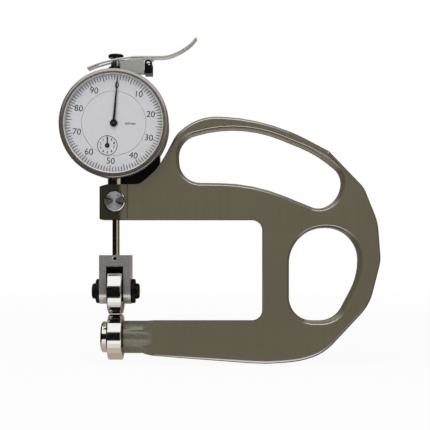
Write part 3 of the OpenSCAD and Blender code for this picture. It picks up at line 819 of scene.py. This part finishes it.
@dataclass
class Casting:
    """The enamelled frame with rounded rims, and the lathe-turned clamp screw in its block."""

    finishes: tuple[Finish, ...] = (ENAMEL, SHADED, ROUGH, RIM, TAPER)
    half_thick: float = 7.0
    flat_slack: float = 0.02
    rim_angle: float = 50.0
    throat_x: float = 71.2
    throat_low: float = -3.55
    throat_top: float = 45.6
    throat_slack: float = 0.1
    block_right: float = 8.0
    block_clear: float = 2.0
    block_seam: float = 6.4
    flare_end: float = 20.6
    boss_slack: float = 0.5
    nook_right: float = 22.0
    nook_low: float = 60.0
    rim_round: float = 1.7
    rim_steps: int = 6
    rim_squeeze: float = 0.3
    taper_x: float = 55.0
    taper_lean: float = -0.08
    fine_round: float = 0.25
    clamp_z: float = 54.4
    clamp_r: float = 5.1
    clamp_face: float = -6.7
    clamp_head: float = 1.3
    clamp_bevel: float = 0.4
    clamp_ease: float = 0.15
    clamp_rings: int = 11
    ring_deep: float = 0.075
    ring_ease: Span = (0.3, 0.15)
    dimple: tuple[Span, ...] = ((0, 0.3), (0.3, 0.1), (0.45, 0))
    shank_r: float = 2.0
    shank_end: float = -4.1

    def on_flat(self, edge: Edge) -> bool:
        """True for a sharp edge of the front or the back face."""
        return sharp(edge, self.rim_angle) and all(
            abs(abs(v.co.y) / MM - self.half_thick) < self.flat_slack for v in edge.verts)

    def in_throat(self, spot: Vector) -> bool:
        """True for a place on the walls of the throat, which have sharp edges."""
        slack = self.throat_slack
        return (spot.x < self.throat_x + slack
                and self.throat_low - slack < spot.z < self.throat_top + slack)

    def rim(self, edge: Edge) -> bool:
        """Tells the edges of the outer rim and of the holes, which are well rounded.

        Args:
            edge: An edge of the casting.

        Returns:
            True for such an edge.
        """
        spot = middle(edge)
        by_block = spot.x < self.block_right and spot.z > self.throat_low
        by_boss = spot.x < self.flare_end and spot.z < self.throat_low
        in_nook = spot.x < self.nook_right and spot.z > self.nook_low
        return self.on_flat(edge) and not (self.in_throat(spot) or by_block or by_boss or in_nook)

    def crisp(self, edge: Edge) -> bool:
        """True for an edge of the throat, which is only broken."""
        spot = middle(edge)
        return self.on_flat(edge) and self.in_throat(spot) and spot.x > self.block_right + self.block_clear

    def paint(self, casting: Piece) -> None:
        """Enamels the casting: painted shade on the block, rough on the boss, and a painted highlight on
        the rims that fades out sooner on the upward rims at the upper right.

        Args:
            casting: The frame with its rims rounded.
        """
        shaded, rough, rim, taper = (self.finishes.index(f) for f in (SHADED, ROUGH, RIM, TAPER))
        for face in casting.data.polygons:
            spot = face.center / MM
            upwards = min(face.normal.x, face.normal.z) > self.taper_lean
            if spot.x < self.block_seam and spot.z > self.throat_top - self.throat_slack:
                face.material_index = shaded
            elif (spot.x < self.flare_end + self.boss_slack
                    and spot.z < self.throat_low + self.boss_slack):
                face.material_index = rough
            # Upward rims at the upper right take the painted highlight that fades out sooner.
            elif face.material_index == rim and spot.x > self.taper_x and upwards:
                face.material_index = taper

    def cast(self) -> None:
        """Rounds the casting's rims, deeper than they are wide, and enamels it."""
        casting = node_copy("enamel_frame", "frame")
        for finish in self.finishes:
            casting.data.materials.append(finish.material())
        for face in casting.data.polygons:
            face.material_index = self.finishes.index(ENAMEL)
        casting.scale.y = self.rim_squeeze
        settle(casting)
        thin = replace(self, half_thick=self.half_thick * self.rim_squeeze)
        # The rims' bevel faces take the painted-highlight rim finish.
        bevel(casting, thin.rim, self.rim_round, self.rim_steps, clamp=False,
              material=self.finishes.index(RIM))
        casting.scale.y = 1 / self.rim_squeeze
        settle(casting)
        bevel(casting, self.crisp, self.fine_round)
        smooth_evenly(casting)
        self.paint(casting)
        place(casting, "gauge_frame", ENAMEL.slot, ["frame"])

    def turn_screw(self) -> None:
        """Turns the clamp screw, with fine rings on its face."""
        axis_at = (0, 0, self.clamp_z)
        front, rim, first = self.clamp_face - self.clamp_head, self.clamp_r, self.dimple[-1][0]
        pitch = (rim - 2 * first) / self.clamp_rings
        low_ease, top_ease = (pitch * ease for ease in self.ring_ease)
        profile: list[ProfilePoint] = [(r, front + deep, 0) for r, deep in self.dimple]
        for k in range(self.clamp_rings):
            groove = first + pitch * (k + 0.5)
            profile += [(groove, front + self.ring_deep, low_ease), (groove + pitch / 2, front, top_ease)]
        profile += [
            (rim - self.clamp_bevel, front, 0), (rim, front + self.clamp_bevel, self.clamp_ease),
            (rim, self.clamp_face, 0), (self.shank_r, self.clamp_face, 0),
            (self.shank_r, self.shank_end, 0), (0, self.shank_end, 0)]
        screw = turned("turned_clamp_screw", profile, Axis.Y, axis_at)
        fit(screw, "gauge_frame", LATHED, ["clamp_screw"], Axis.Y, axis_at)

    def build(self) -> None:
        """Makes the casting and its clamp screw."""
        self.cast()
        self.turn_screw()


@dataclass
class Rollers:
    """The two ball-bearing rollers with the lower axle's round head."""

    radius: float = 11.0
    half_width: float = 3.5
    land: float = 9.06
    land_bevel: float = 0.3
    groove: float = 9.5
    groove_rise: float = 0.12
    groove_half: float = 1.25
    groove_mid: float = 0.65
    axis_z: float = 11.1
    edge: float = 0.7
    steps: int = 128
    bright: tuple[str, ...] = ("axle", "inner_ring", "balls")
    dark: tuple[str, ...] = ("shields", "spacers")

    def ring(self, name: str, z: float) -> Piece:
        """Turns one roller with rounded shoulders and a ball groove.

        Args:
            name: Name of the new piece.
            z: Height of its axis in millimetres.

        Returns:
            The roller.
        """
        w, inner, outer, ease = self.half_width, self.land, self.radius, self.land_bevel
        mouth, mid, flank = self.groove_half, self.groove_mid, self.groove - self.groove_rise
        return turned(name, [
            (inner, mouth, 0), (inner, w - ease, 0), (inner + ease, w, 0), (outer, w, self.edge),
            (outer, -w, self.edge), (inner + ease, -w, 0), (inner, -w + ease, 0), (inner, -mouth, 0),
            (flank, -mid, 0), (self.groove, 0, 0), (flank, mid, 0), (inner, mouth, 0)],
            Axis.X, (0, 0, z), self.steps)

    def build(self) -> None:
        """Turns both rollers and dresses the bearings inside them."""
        for side, z in (("upper", self.axis_z), ("lower", -self.axis_z)):
            axis_at = (0, 0, z)
            ring = self.ring(f"turned_{side}_roller", z)
            fit(ring, f"{side}_wheel", POLISHED, [f"{side}_roller"], Axis.X, axis_at)
            for parts, finish in ((self.bright, POLISHED), (self.dark, SHIELD), (("cage",), BRASS)):
                dress_nodes(finish.material(Axis.X, axis_at), *(f"{side}_{part}" for part in parts))


@dataclass
class YokeSet:
    """The forked yoke with its axle cap screws and set screw."""

    half_wide: float = 7.5
    axis_z: float = 11.1
    front: float = -6.2
    fork_half: float = 4.12
    fork_top: float = 23.25
    fork_lean: float = 0.9
    screw_z: float = 26.9
    screw_r: float = 0.82
    screw_slack: float = 0.05
    sink: float = 0.4
    edge: float = 0.3
    edge_angle: float = 70.0
    edge_least: float = 2.0
    shank_r: float = 1.5
    shank_end: float = 4.6
    flange_r: float = 5.9
    flange_t: float = 2.0
    flange_ease: Span = (0.4, 0.7)
    dome_r: float = 3.78
    dome_t: float = 2.0
    dome_ease: float = 1.3
    slot_half: float = 0.45
    slot_deep: float = 0.9

    def outer_edge(self, edge: Edge) -> bool:
        """True for the long straight edges of the yoke's block."""
        return sharp(edge, self.edge_angle) and edge.calc_length() > self.edge_least * MM

    def screw_mouth(self, edge: Edge) -> bool:
        """True for the front edge of the set screw's hole."""
        spot = middle(edge)
        return (abs(spot.y - self.front) < LEVEL
                and math.hypot(spot.x, spot.z - self.screw_z) < self.screw_r + self.screw_slack)

    def in_fork(self, face: bpy.types.MeshPolygon) -> bool:
        """True for a face of the fork's inner walls."""
        spot = face.center / MM
        return (abs(spot.x) < self.fork_half and spot.z < self.fork_top
                and abs(face.normal.y) < self.fork_lean)

    def cap(self) -> Piece:
        """Turns one cap screw on the right and cuts its driver slot.

        Returns:
            The cap screw.
        """
        face, rim = self.half_wide, self.flange_r
        top = face + self.flange_t
        end = top + self.dome_t
        inner_ease, outer_ease = self.flange_ease
        screw = turned("cap", [
            (0, self.shank_end, 0), (self.shank_r, self.shank_end, 0), (self.shank_r, face, 0),
            (rim, face, inner_ease), (rim, top, outer_ease), (self.dome_r, top, 0),
            (self.dome_r, end, self.dome_ease), (0, end, 0)], Axis.X, (0, 0, self.axis_z))
        cut_away(screw, (end - self.slot_deep, -self.slot_half, self.axis_z - 2 * rim),
                 (end + CUT_PAST, self.slot_half, self.axis_z + 2 * rim))
        smooth(screw)
        return screw

    def build(self) -> None:
        """Breaks the yoke's edges, sinks its screw hole, and turns and copies the cap screws."""
        yoke = node_copy("satin_yoke", "yoke")
        bevel(yoke, self.screw_mouth, self.sink, 1, clamp=False)
        bevel(yoke, self.outer_edge, self.edge)
        smooth_evenly(yoke)
        dress(yoke, SATIN.material(Axis.X))
        # The fork's inner walls get the painted shade.
        inlay(yoke, SLOT.material(), self.in_fork)
        place(yoke, "plunger", SATIN.slot, ["yoke"])
        right = self.cap()
        left = turned_copy(right, about(Axis.Z, 180, ORIGIN))
        fit(joined("black_axle_caps", [right, left]), "plunger", BLACK, ["axle_cap_screws"])
        dress_nodes(BLACK.material(), "yoke_set_screw")


@dataclass
class SpindleSet:
    """The sliding spindle with its cap, and the stem and collar that it runs in."""

    steps: int = 64
    cap_low: float = 124.0
    cap_high: float = 125.6
    cap_r: float = 3.7
    cap_ease: Span = (0.5, 0.7)
    tip_r: float = 1.22
    roof: float = 0.5
    collar_low: float = 117.42
    collar_r: float = 4.6
    collar_top_r: float = 3.1
    collar_h: float = 2.4
    collar_wall: float = 0.8
    collar_ease: Span = (0.3, 0.4)
    bush_r: float = 2.52

    def build(self) -> None:
        """Turns the cap and the collar and dresses the rods."""
        low, high, inner = self.cap_low, self.cap_high, self.cap_high - self.roof
        low_ease, top_ease = self.cap_ease
        cap = turned("black_spindle_cap", [
            (0, inner, 0), (self.tip_r, inner, 0), (self.tip_r, low, 0), (self.cap_r, low, low_ease),
            (self.cap_r, high, top_ease), (0, high, 0)], Axis.Z, ORIGIN, self.steps)
        fit(cap, "plunger", BLACK, ["spindle_cap"])

        low, high = self.collar_low, self.collar_low + self.collar_h
        low_ease, top_ease = self.collar_ease
        collar = turned("black_collar", [
            (self.bush_r, low, 0), (self.collar_r, low, 0),
            (self.collar_r, low + self.collar_wall, low_ease), (self.collar_top_r, high, top_ease),
            (self.bush_r, high, 0), (self.bush_r, low, 0)], Axis.Z, ORIGIN, self.steps)
        fit(collar, "gauge_frame", BLACK, ["top_collar"])
        dress_nodes(POLISHED.material(), "spindle", "stem", "top_bush")
        dress_nodes(BRASS.material(), "stem_bush", "spindle_arm")


@dataclass
class DialFace:
    """The dial's printed scale: ticks, numbers, the small turn counter and the unit."""

    face_y: float = -9.9
    print_t: float = 0.02
    turn: float = 4.8
    tick_out: float = 23.0
    tick_w: float = 0.30
    tick_len: float = 2.3
    tick_count: int = 100
    long_len: float = 3.0
    long_count: int = 20
    number_r: float = 18.0
    number_h: float = 4.2
    number_bold: float = 0.005
    small_bold: float = 0.045
    curve_steps: int = 4
    counter: Span = (-3.0415, 80.529)
    counter_r: float = 4.65
    counter_line: float = 0.14
    digit_r: float = 3.3
    digit_h: float = 1.6
    unit_at: Span = (7.9, 90.9)
    unit_h: float = 1.5

    def ticks(self, name: str, length: float, count: int) -> Piece:
        """Models one tick at the top of the dial and spins its copies round.

        Args:
            name: Name of the new piece.
            length: Length of a tick in millimetres.
            count: Number of ticks round the dial.

        Returns:
            The ticks as one piece.
        """
        half, top = self.tick_w / 2, DIAL_Z + self.tick_out
        piece = block(name, (-half, self.face_y - self.print_t, top - length), (half, self.face_y, top))
        with editing(piece):
            select_mesh()
            bpy.ops.mesh.spin(steps=count - 1, angle=2 * math.pi * (count - 1) / count, dupli=True,
                              center=Vector(DIAL_CENTRE) * MM, axis=Axis.Y.along)
        return piece

    def circle(self) -> Piece:
        """Prints the counter's thin circle on the fixed disc.

        Returns:
            The circle.
        """
        low, high = self.counter_r - self.counter_line, self.counter_r + self.counter_line
        back, front = self.face_y, self.face_y - self.print_t
        return turned("circle", [(low, back, 0), (low, front, 0), (high, front, 0), (high, back, 0),
                                 (low, back, 0)], Axis.Y, (self.counter[0], 0, self.counter[1]))

    def word(self, text: str, height: float, x: float, z: float) -> Piece:
        """Prints a number or a unit on the dial.

        Args:
            text: What is printed.
            height: Size of the type in millimetres.
            x: Middle of the print.
            z: Middle of the print.

        Returns:
            The print as a mesh.
        """
        deselect()
        bpy.ops.object.text_add()
        letters = bpy.context.object.data
        letters.body = text
        letters.size = height * MM
        letters.offset = (self.small_bold if height < self.number_h else self.number_bold) * MM
        letters.align_x = "CENTER"
        letters.align_y = "CENTER"
        letters.resolution_u = self.curve_steps
        letters.extrude = self.print_t / 2 * MM
        bpy.ops.object.convert(target="MESH")
        piece = bpy.context.object
        spot = Matrix.Translation(Vector((x, self.face_y - self.print_t / 2, z)) * MM)
        piece.matrix_world = spot @ Matrix.Rotation(math.radians(90), 4, "X")
        settle(piece)
        return piece

    def round_words(self, step: int, height: float, radius: float, centre: Span, way: int) -> list[Piece]:
        """Prints ten numbers in a circle, all upright, starting with 0 at the top.

        Args:
            step: Step from one number to the next.
            height: Size of the type in millimetres.
            radius: Radius of the circle through their middles.
            centre: Centre of the circle, along X and Z.
            way: 1 for clockwise, -1 for the other way.

        Returns:
            The prints.
        """
        words = []
        for i in range(10):
            angle = way * 2 * math.pi * i / 10
            words.append(self.word(str(step * i), height, centre[0] + radius * math.sin(angle),
                                   centre[1] + radius * math.cos(angle)))
        return words

    def build(self) -> None:
        """Prints the turning scale on the bezel's ring and the counter on the fixed disc."""
        ring = joined("printed_scale", [
            self.ticks("ticks", self.tick_len, self.tick_count),
            self.ticks("long_ticks", self.long_len, self.long_count),
            *self.round_words(10, self.number_h, self.number_r, (0, DIAL_Z), 1)])
        ring.matrix_world = about(Axis.Y, self.turn, DIAL_CENTRE)
        settle(ring)
        fit(ring, "bezel_group", INK)
        counter = joined("printed_counter", [
            self.circle(), *self.round_words(1, self.digit_h, self.digit_r, self.counter, -1),
            self.word("0.01mm", self.unit_h, *self.unit_at)])
        fit(counter, "gauge_frame", INK)
        dress_nodes(DIAL.material(Axis.X), "dial_disc", "dial_ring")


@dataclass
class Pointers:
    """The main pointer on its round hub and the counter's small pointer."""

    front: float = -10.85
    edge: float = 0.06

    def front_edge(self, edge: Edge) -> bool:
        """True for a sharp edge of the pointer's front face."""
        return sharp(edge) and abs(middle(edge).y - self.front) < LEVEL

    def build(self) -> None:
        """Breaks the pointer's edges and dresses both pointers."""
        pointer = node_copy("black_pointer", "pointer")
        bevel(pointer, self.front_edge, self.edge)
        smooth(pointer)
        fit(pointer, "centre_train", INK, ["pointer"])
        dress_nodes(INK.material(), "small_pointer")
        dress_nodes(BRONZE.material(Axis.Y, DIAL_CENTRE), "centre_arbor", "rack_pinion")


@dataclass
class BezelSet:
    """The turning bezel with its rounded rim and the crystal that it holds."""

    radius: float = 26.0
    bore: float = 24.34
    window_r: float = 23.2
    seat: Span = (0.15, 0.12)
    lip: float = 0.38
    lip_drop: float = 0.06
    lip_land: float = 0.3
    lip_ease: Span = (0.08, 0.12)
    front: float = -12.5
    front_ease: float = 1.6
    back: float = -7.1
    back_ease: float = 0.45
    crystal_front: float = -12.0
    steps: int = 160

    def on_lip(self, face: bpy.types.MeshPolygon) -> bool:
        """True for a face of the lip round the window."""
        spot = face.center / MM
        return math.hypot(spot.x, spot.z - DIAL_Z) < self.window_r + self.lip

    def build(self) -> None:
        """Turns the bezel and dresses the crystal."""
        outer_lip, glass = self.window_r + self.lip, self.crystal_front
        (seat_wide, seat_deep), (inner_ease, outer_ease) = self.seat, self.lip_ease
        bezel = turned("turned_bezel", [
            (self.bore, self.back, 0), (self.bore, glass, 0), (self.window_r + seat_wide, glass, 0),
            (self.window_r, glass - seat_deep, 0), (outer_lip, self.front + self.lip_drop, inner_ease),
            (outer_lip + self.lip_land, self.front, outer_ease), (self.radius, self.front, self.front_ease),
            (self.radius, self.back, self.back_ease), (self.bore, self.back, 0)],
            Axis.Y, DIAL_CENTRE, self.steps)
        dress(bezel, BEZEL.material(Axis.Y, DIAL_CENTRE))
        inlay(bezel, LIP.material(Axis.Y, DIAL_CENTRE), self.on_lip)
        place(bezel, "bezel_group", BEZEL.slot, ["bezel"])
        dress_nodes(ClearGlass().material(), "crystal")
        dress_nodes(SPRING.material(), "bezel_spring")


@dataclass
class CaseSet:
    """The black gauge case with its back cover and slotted cover screws."""

    cover_back: float = 6.5
    edge: float = 0.5
    edge_steps: int = 3
    screw_r: float = 24.45
    screw_turns: tuple[float, ...] = (45, 135, 225, 315)
    head_r: float = 0.9
    slot_half: float = 0.14
    slot_deep: float = 0.3

    def cover_edge(self, edge: Edge) -> bool:
        """True for the outer edge of the cover's back."""
        spot = middle(edge)
        return (sharp(edge) and abs(spot.y - self.cover_back) < LEVEL
                and math.hypot(spot.x, spot.z - DIAL_Z) > self.screw_r + self.head_r)

    def build(self) -> None:
        """Breaks the cover's edge, slots the screws and dresses the case."""
        cover = node_copy("black_back_cover", "back_cover")
        bevel(cover, self.cover_edge, self.edge, self.edge_steps)
        smooth_evenly(cover)
        fit(cover, "gauge_frame", LACQUER, ["back_cover"])
        screws = node_copy("slotted_cover_screws", "back_cover_screws")
        for angle in map(math.radians, self.screw_turns):
            x, z = self.screw_r * math.cos(angle), DIAL_Z + self.screw_r * math.sin(angle)
            cut_away(screws,
                     (x - self.slot_half, self.cover_back - self.slot_deep, z - 2 * self.head_r),
                     (x + self.slot_half, self.cover_back + CUT_PAST, z + 2 * self.head_r))
        smooth(screws)
        fit(screws, "gauge_frame", SATIN, ["back_cover_screws"], Axis.Y)
        dress_nodes(LACQUER.material(), "case")


@dataclass
class LeverSet:
    """The thumb lever: bent strip, saddle, bracket, clevis and pivot pin."""

    pivot: Spot = (15.9, 0, 120.6)
    half_wide: float = 3.5
    thick: float = 0.8
    slot_half: float = 2.1
    slot: Span = (-8.5, 6.9)
    steps: int = 5
    edge: float = 0.12
    edge_least: float = 1.2
    path: tuple[Span, ...] = (
        (-13.6, -2.0), (-7.6, 0.3), (-1.2, 1.9), (4.75, 2.9), (9.7, 3.5), (19.1, 3.5),
        (24.8, 3.8), (29.0, 5.2), (32.7, 7.2), (36.3, 9.8), (39.0, 12.9))

    def bent_path(self) -> list[Vector]:
        """Smooths the strip's path and adds the ends of its slot.

        Returns:
            Points of the path in millimetres.
        """
        corners = [Vector((x, 0, self.pivot[2] + dz)) for x, dz in self.path]
        ends = [2 * corners[0] - corners[1], *corners, 2 * corners[-1] - corners[-2]]
        line = []
        for a, b, c, d in zip(ends, ends[1:], ends[2:], ends[3:]):
            for k in range(self.steps):
                t = k / self.steps
                line.append(0.5 * (2 * b + (c - a) * t + (2 * a - 5 * b + 4 * c - d) * t ** 2
                                   + (3 * b - a - 3 * c + d) * t ** 3))
        line.append(corners[-1])
        for stop in self.slot:
            i = next(i for i, p in enumerate(line) if p.x > stop)
            share = (stop - line[i - 1].x) / (line[i].x - line[i - 1].x)
            line.insert(i, line[i - 1].lerp(line[i], share))
        return line

    def in_slot(self, face: bmesh.types.BMFace) -> bool:
        """True for a face of the strip's middle between the ends of its slot."""
        spot = face.calc_center_median() / MM
        return abs(spot.y) < self.slot_half and self.slot[0] < spot.x < self.slot[1]

    def long_edge(self, edge: Edge) -> bool:
        """True for a sharp edge that is long enough to be broken."""
        return sharp(edge) and edge.calc_length() > self.edge_least * MM

    def strip(self) -> Piece:
        """Extrudes the strip along its path, opens its slot and gives it its thickness.

        Returns:
            The strip.
        """
        line = self.bent_path()
        across = [Vector((0, y, 0)) for y in
                  (-self.half_wide, -self.slot_half, self.slot_half, self.half_wide)]
        with drawing("bright_lever", (line[0] + across[0]) * MM) as piece:
            for here, there in zip(across, across[1:]):
                bpy.ops.mesh.extrude_vertices_move(TRANSFORM_OT_translate={"value": (there - here) * MM})
            select_mesh()
            for here, there in zip(line, line[1:]):
                bpy.ops.mesh.extrude_region_move(TRANSFORM_OT_translate={"value": (there - here) * MM})
            pick(piece, Part.FACE, self.in_slot)
            bpy.ops.mesh.delete(type="FACE")
            select_mesh()
            bpy.ops.mesh.normals_make_consistent(inside=False)
        modify(piece, "SOLIDIFY", {"thickness": self.thick * MM, "offset": 0.0, "use_even_offset": True})
        bevel(piece, sharp, self.edge)
        smooth(piece)
        return piece

    def build(self) -> None:
        """Makes the strip and breaks the edges of the bracket, the clevis and the saddle."""
        fit(self.strip(), "lever_group", BRIGHT, ["lever"], Axis.X)
        for node, name, body, finish in (
                ("lever_saddle", "bright_saddle", "lever_group", BRIGHT),
                ("lever_bracket", "plated_bracket", "gauge_frame", BRACKET),
                ("lever_clevis", "black_clevis", "gauge_frame", BLACK)):
            piece = node_copy(name, node)
            bevel(piece, self.long_edge, self.edge)
            smooth_evenly(piece)
            fit(piece, body, finish, [node])
        dress_nodes(POLISHED.material(Axis.Y, self.pivot), "lever_pivot_pin")


@dataclass
class Movement:
    """The pieces inside the case, which keep their CAD shapes."""

    brass: tuple[str, ...] = (
        "front_plate", "rear_plate", "movement_pillars", "pinion_bridge", "transfer_wheel",
        "hairspring_wheel", "dial_seat", "guide_rail", "spring_post")
    steel: tuple[str, ...] = ("pillar_screws", "bridge_screws")
    springs: tuple[str, ...] = ("hairspring", "return_spring")

    def build(self) -> None:
        """Dresses the plates, wheels, screws and springs."""
        dress_nodes(BRASS.material(Axis.Y, DIAL_CENTRE), *self.brass)
        dress_nodes(SATIN.material(Axis.Y), *self.steel)
        dress_nodes(SPRING.material(), *self.springs)


# ----- Studio, with places in millimetres -----

ROOM_X: Span = (-900, 700)
UNDER_X: Span = (-25, 25)
RIGHT_X: Span = (700, 701)
FRONT_Y: Span = (-801, -800)
WALL_Z: Span = (-24, 430)
MAT_Z: Span = (-24.3, -24.2)
ROOF_Z: Span = (430, 431)
WHITE = (1, 1, 1, 1)


@dataclass
class Studio:
    """Pale floor, soft lamps, dark walls for the metal to mirror, and the camera."""

    floor_z: float = -24.4
    floor_wide: float = 8000.0
    floor_grey: float = 0.8
    floor_fade: Span = (0.15, 0.9)
    floor_white: Span = (0.94, 1.0)
    camera_at: Spot = (48.0, -450.0, 31.0)
    sensor: float = 36.0
    lens: float = 77.7
    shift_up: float = 0.0814
    nearest: float = 10.0
    fill: float = 0.25
    target: Spot = (45.0, 0.0, 50.0)
    panels: tuple[tuple[Cloth, Span, Span, Span], ...] = (
        (Cloth.BLACK, (-900, 340), FRONT_Y, WALL_Z), (Cloth.TAN, (340, 700), FRONT_Y, WALL_Z),
        (Cloth.TAN, RIGHT_X, (-800, -297), WALL_Z), (Cloth.BROWN, RIGHT_X, (-297, 800), WALL_Z),
        (Cloth.BLACK, (-901, -900), (-800, 800), (-24, 1100)), (Cloth.SAND, ROOM_X, (800, 801), WALL_Z),
        (Cloth.BLACK, ROOM_X, (-800, -60), MAT_Z), (Cloth.BLACK, (-900, -25), (-60, 110), MAT_Z),
        (Cloth.TAN, UNDER_X, (-9, 110), MAT_Z), (Cloth.BLACK, (25, 700), (-5, 110), MAT_Z),
        # Below, first: a small black card just in front of the rollers' nip, seen only in mirrors, which
        # darkens their reflections there.
        (Cloth.BLACK, (-6, 6), (-8.3, -8.2), (-3.7, 3.7)), (Cloth.LINEN, UNDER_X, (-30, -17), MAT_Z),
        (Cloth.CREAM, UNDER_X, (-17, -9), MAT_Z), (Cloth.SAND, ROOM_X, (110, 560), MAT_Z),
        (Cloth.BLACK, ROOM_X, (112, 350), ROOF_Z), (Cloth.SAND, ROOM_X, (350, 800), ROOF_Z))
    lamps: tuple[tuple[str, Spot, float, float], ...] = (
        ("top_softbox", (-40.0, -320.0, 720.0), 700.0, 3.4),
        ("left_softbox", (-420.0, -680.0, 200.0), 450.0, 2.1),
        ("right_softbox", (470.0, -680.0, 240.0), 450.0, 1.7))

    def seen(self, graph: Graph) -> Socket:
        """Tells the rays that show the background: to the camera, in metal and through glass.

        Args:
            graph: The nodes of the world or the floor.

        Returns:
            One for such a ray, and nought for the rest.
        """
        path = graph.add("ShaderNodeLightPath").outputs
        mirror = graph.maths("MAXIMUM", path["Is Glossy Ray"], path["Is Transmission Ray"])
        return graph.maths("MAXIMUM", path["Is Camera Ray"], mirror)

    def world(self) -> None:
        """White to the eye and in mirrors, and a soft fill for the rest."""
        world = bpy.data.worlds.new("soft_room")
        bpy.context.scene.world = world
        graph = Graph.fresh(world)
        soft, white = (graph.add("ShaderNodeBackground", None, {"Color": WHITE, "Strength": strength})
                       for strength in (self.fill, 1.0))
        graph.show(graph.mixed(self.seen(graph), soft, white), "ShaderNodeOutputWorld")

    def floor(self) -> None:
        """A pale floor that reads white and keeps a faint shadow."""
        deselect()
        bpy.ops.mesh.primitive_plane_add(size=self.floor_wide * MM, location=(0, 0, self.floor_z * MM))
        floor = bpy.context.object
        floor.name = "pale_floor"
        settle(floor)
        material = bpy.data.materials.new("pale_floor")
        graph = Graph.fresh(material)
        matt = graph.add("ShaderNodeBsdfDiffuse", None, {"Color": (*[self.floor_grey] * 3, 1)})
        white = graph.add("ShaderNodeEmission", None, {"Color": WHITE, "Strength": 1.0})
        spot = graph.add("ShaderNodeTexCoord").outputs["Object"]
        far = graph.add("ShaderNodeVectorMath", {"operation": "LENGTH"}, {0: spot}).outputs["Value"]
        fade = graph.remap(far, self.floor_fade, self.floor_white)
        graph.show(graph.mixed(graph.maths("MULTIPLY", self.seen(graph), fade), matt, white))
        dress(floor, material)

    def cloth(self, cloth: Cloth) -> Material:
        """Weaves, once, an evenly lit cloth for the walls, which shows its colour as written.

        Args:
            cloth: Which cloth.

        Returns:
            The material.
        """
        name = f"{cloth.name.lower()}_cloth"
        if name in bpy.data.materials:
            return bpy.data.materials[name]
        material = bpy.data.materials.new(name)
        graph = Graph.fresh(material)
        graph.show(graph.add("ShaderNodeEmission", None, {"Color": (*cloth.value, 1), "Strength": 1.0}))
        return material

    def dark_walls(self) -> None:
        """Walls, mats and half a roof round the gauge, which give the metal its dark and pale bands, and a
        small black card just in front of the rollers' nip that darkens their reflections there.

        They are seen only in mirrors.
        """
        panels = []
        for cloth, x, y, z in self.panels:
            panel = block("panel", *zip(x, y, z))
            dress(panel, self.cloth(cloth))
            panels.append(panel)
        walls = joined("dark_walls", panels)
        for kind in ("visible_camera", "visible_diffuse", "visible_shadow"):
            setattr(walls, kind, False)

    def light(self) -> None:
        """Hangs the soft lamps, each turned towards the gauge."""
        for name, spot, size, power in self.lamps:
            data = bpy.data.lights.new(name, "AREA")
            data.size = size * MM
            data.energy = power
            lamp = bpy.data.objects.new(name, data)
            bpy.context.scene.collection.objects.link(lamp)
            lamp.location = Vector(spot) * MM
            lamp.rotation_euler = (Vector(self.target) - Vector(spot)).to_track_quat("-Z", "Y").to_euler()
            lamp.visible_glossy = False

    def camera(self) -> None:
        """Sets the camera at the photograph's viewing angle."""
        data = bpy.data.cameras.new("camera")
        data.lens = self.lens
        data.sensor_width = self.sensor
        data.shift_y = self.shift_up
        data.clip_start = self.nearest * MM
        camera = bpy.data.objects.new("camera", data)
        bpy.context.scene.collection.objects.link(camera)
        camera.location = Vector(self.camera_at) * MM
        camera.rotation_euler = (math.radians(90), 0, 0)
        bpy.context.scene.camera = camera

    def build(self) -> None:
        """Sets up the room, the lamps and the camera."""
        self.world()
        self.floor()
        self.dark_walls()
        self.light()
        self.camera()
        bpy.context.scene.view_settings.view_transform = "Standard"


def main() -> None:
    """Builds the sub-assemblies in order."""
    logging.basicConfig(level=logging.INFO, format="%(message)s")
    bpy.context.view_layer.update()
    for assembly in (Casting(), Rollers(), YokeSet(), SpindleSet(), DialFace(), Pointers(), BezelSet(),
                     CaseSet(), LeverSet(), Movement(), Studio()):
        LOG.info("building %s", type(assembly).__name__)
        assembly.build()
    deselect()


if __name__ == "__main__":
    main()
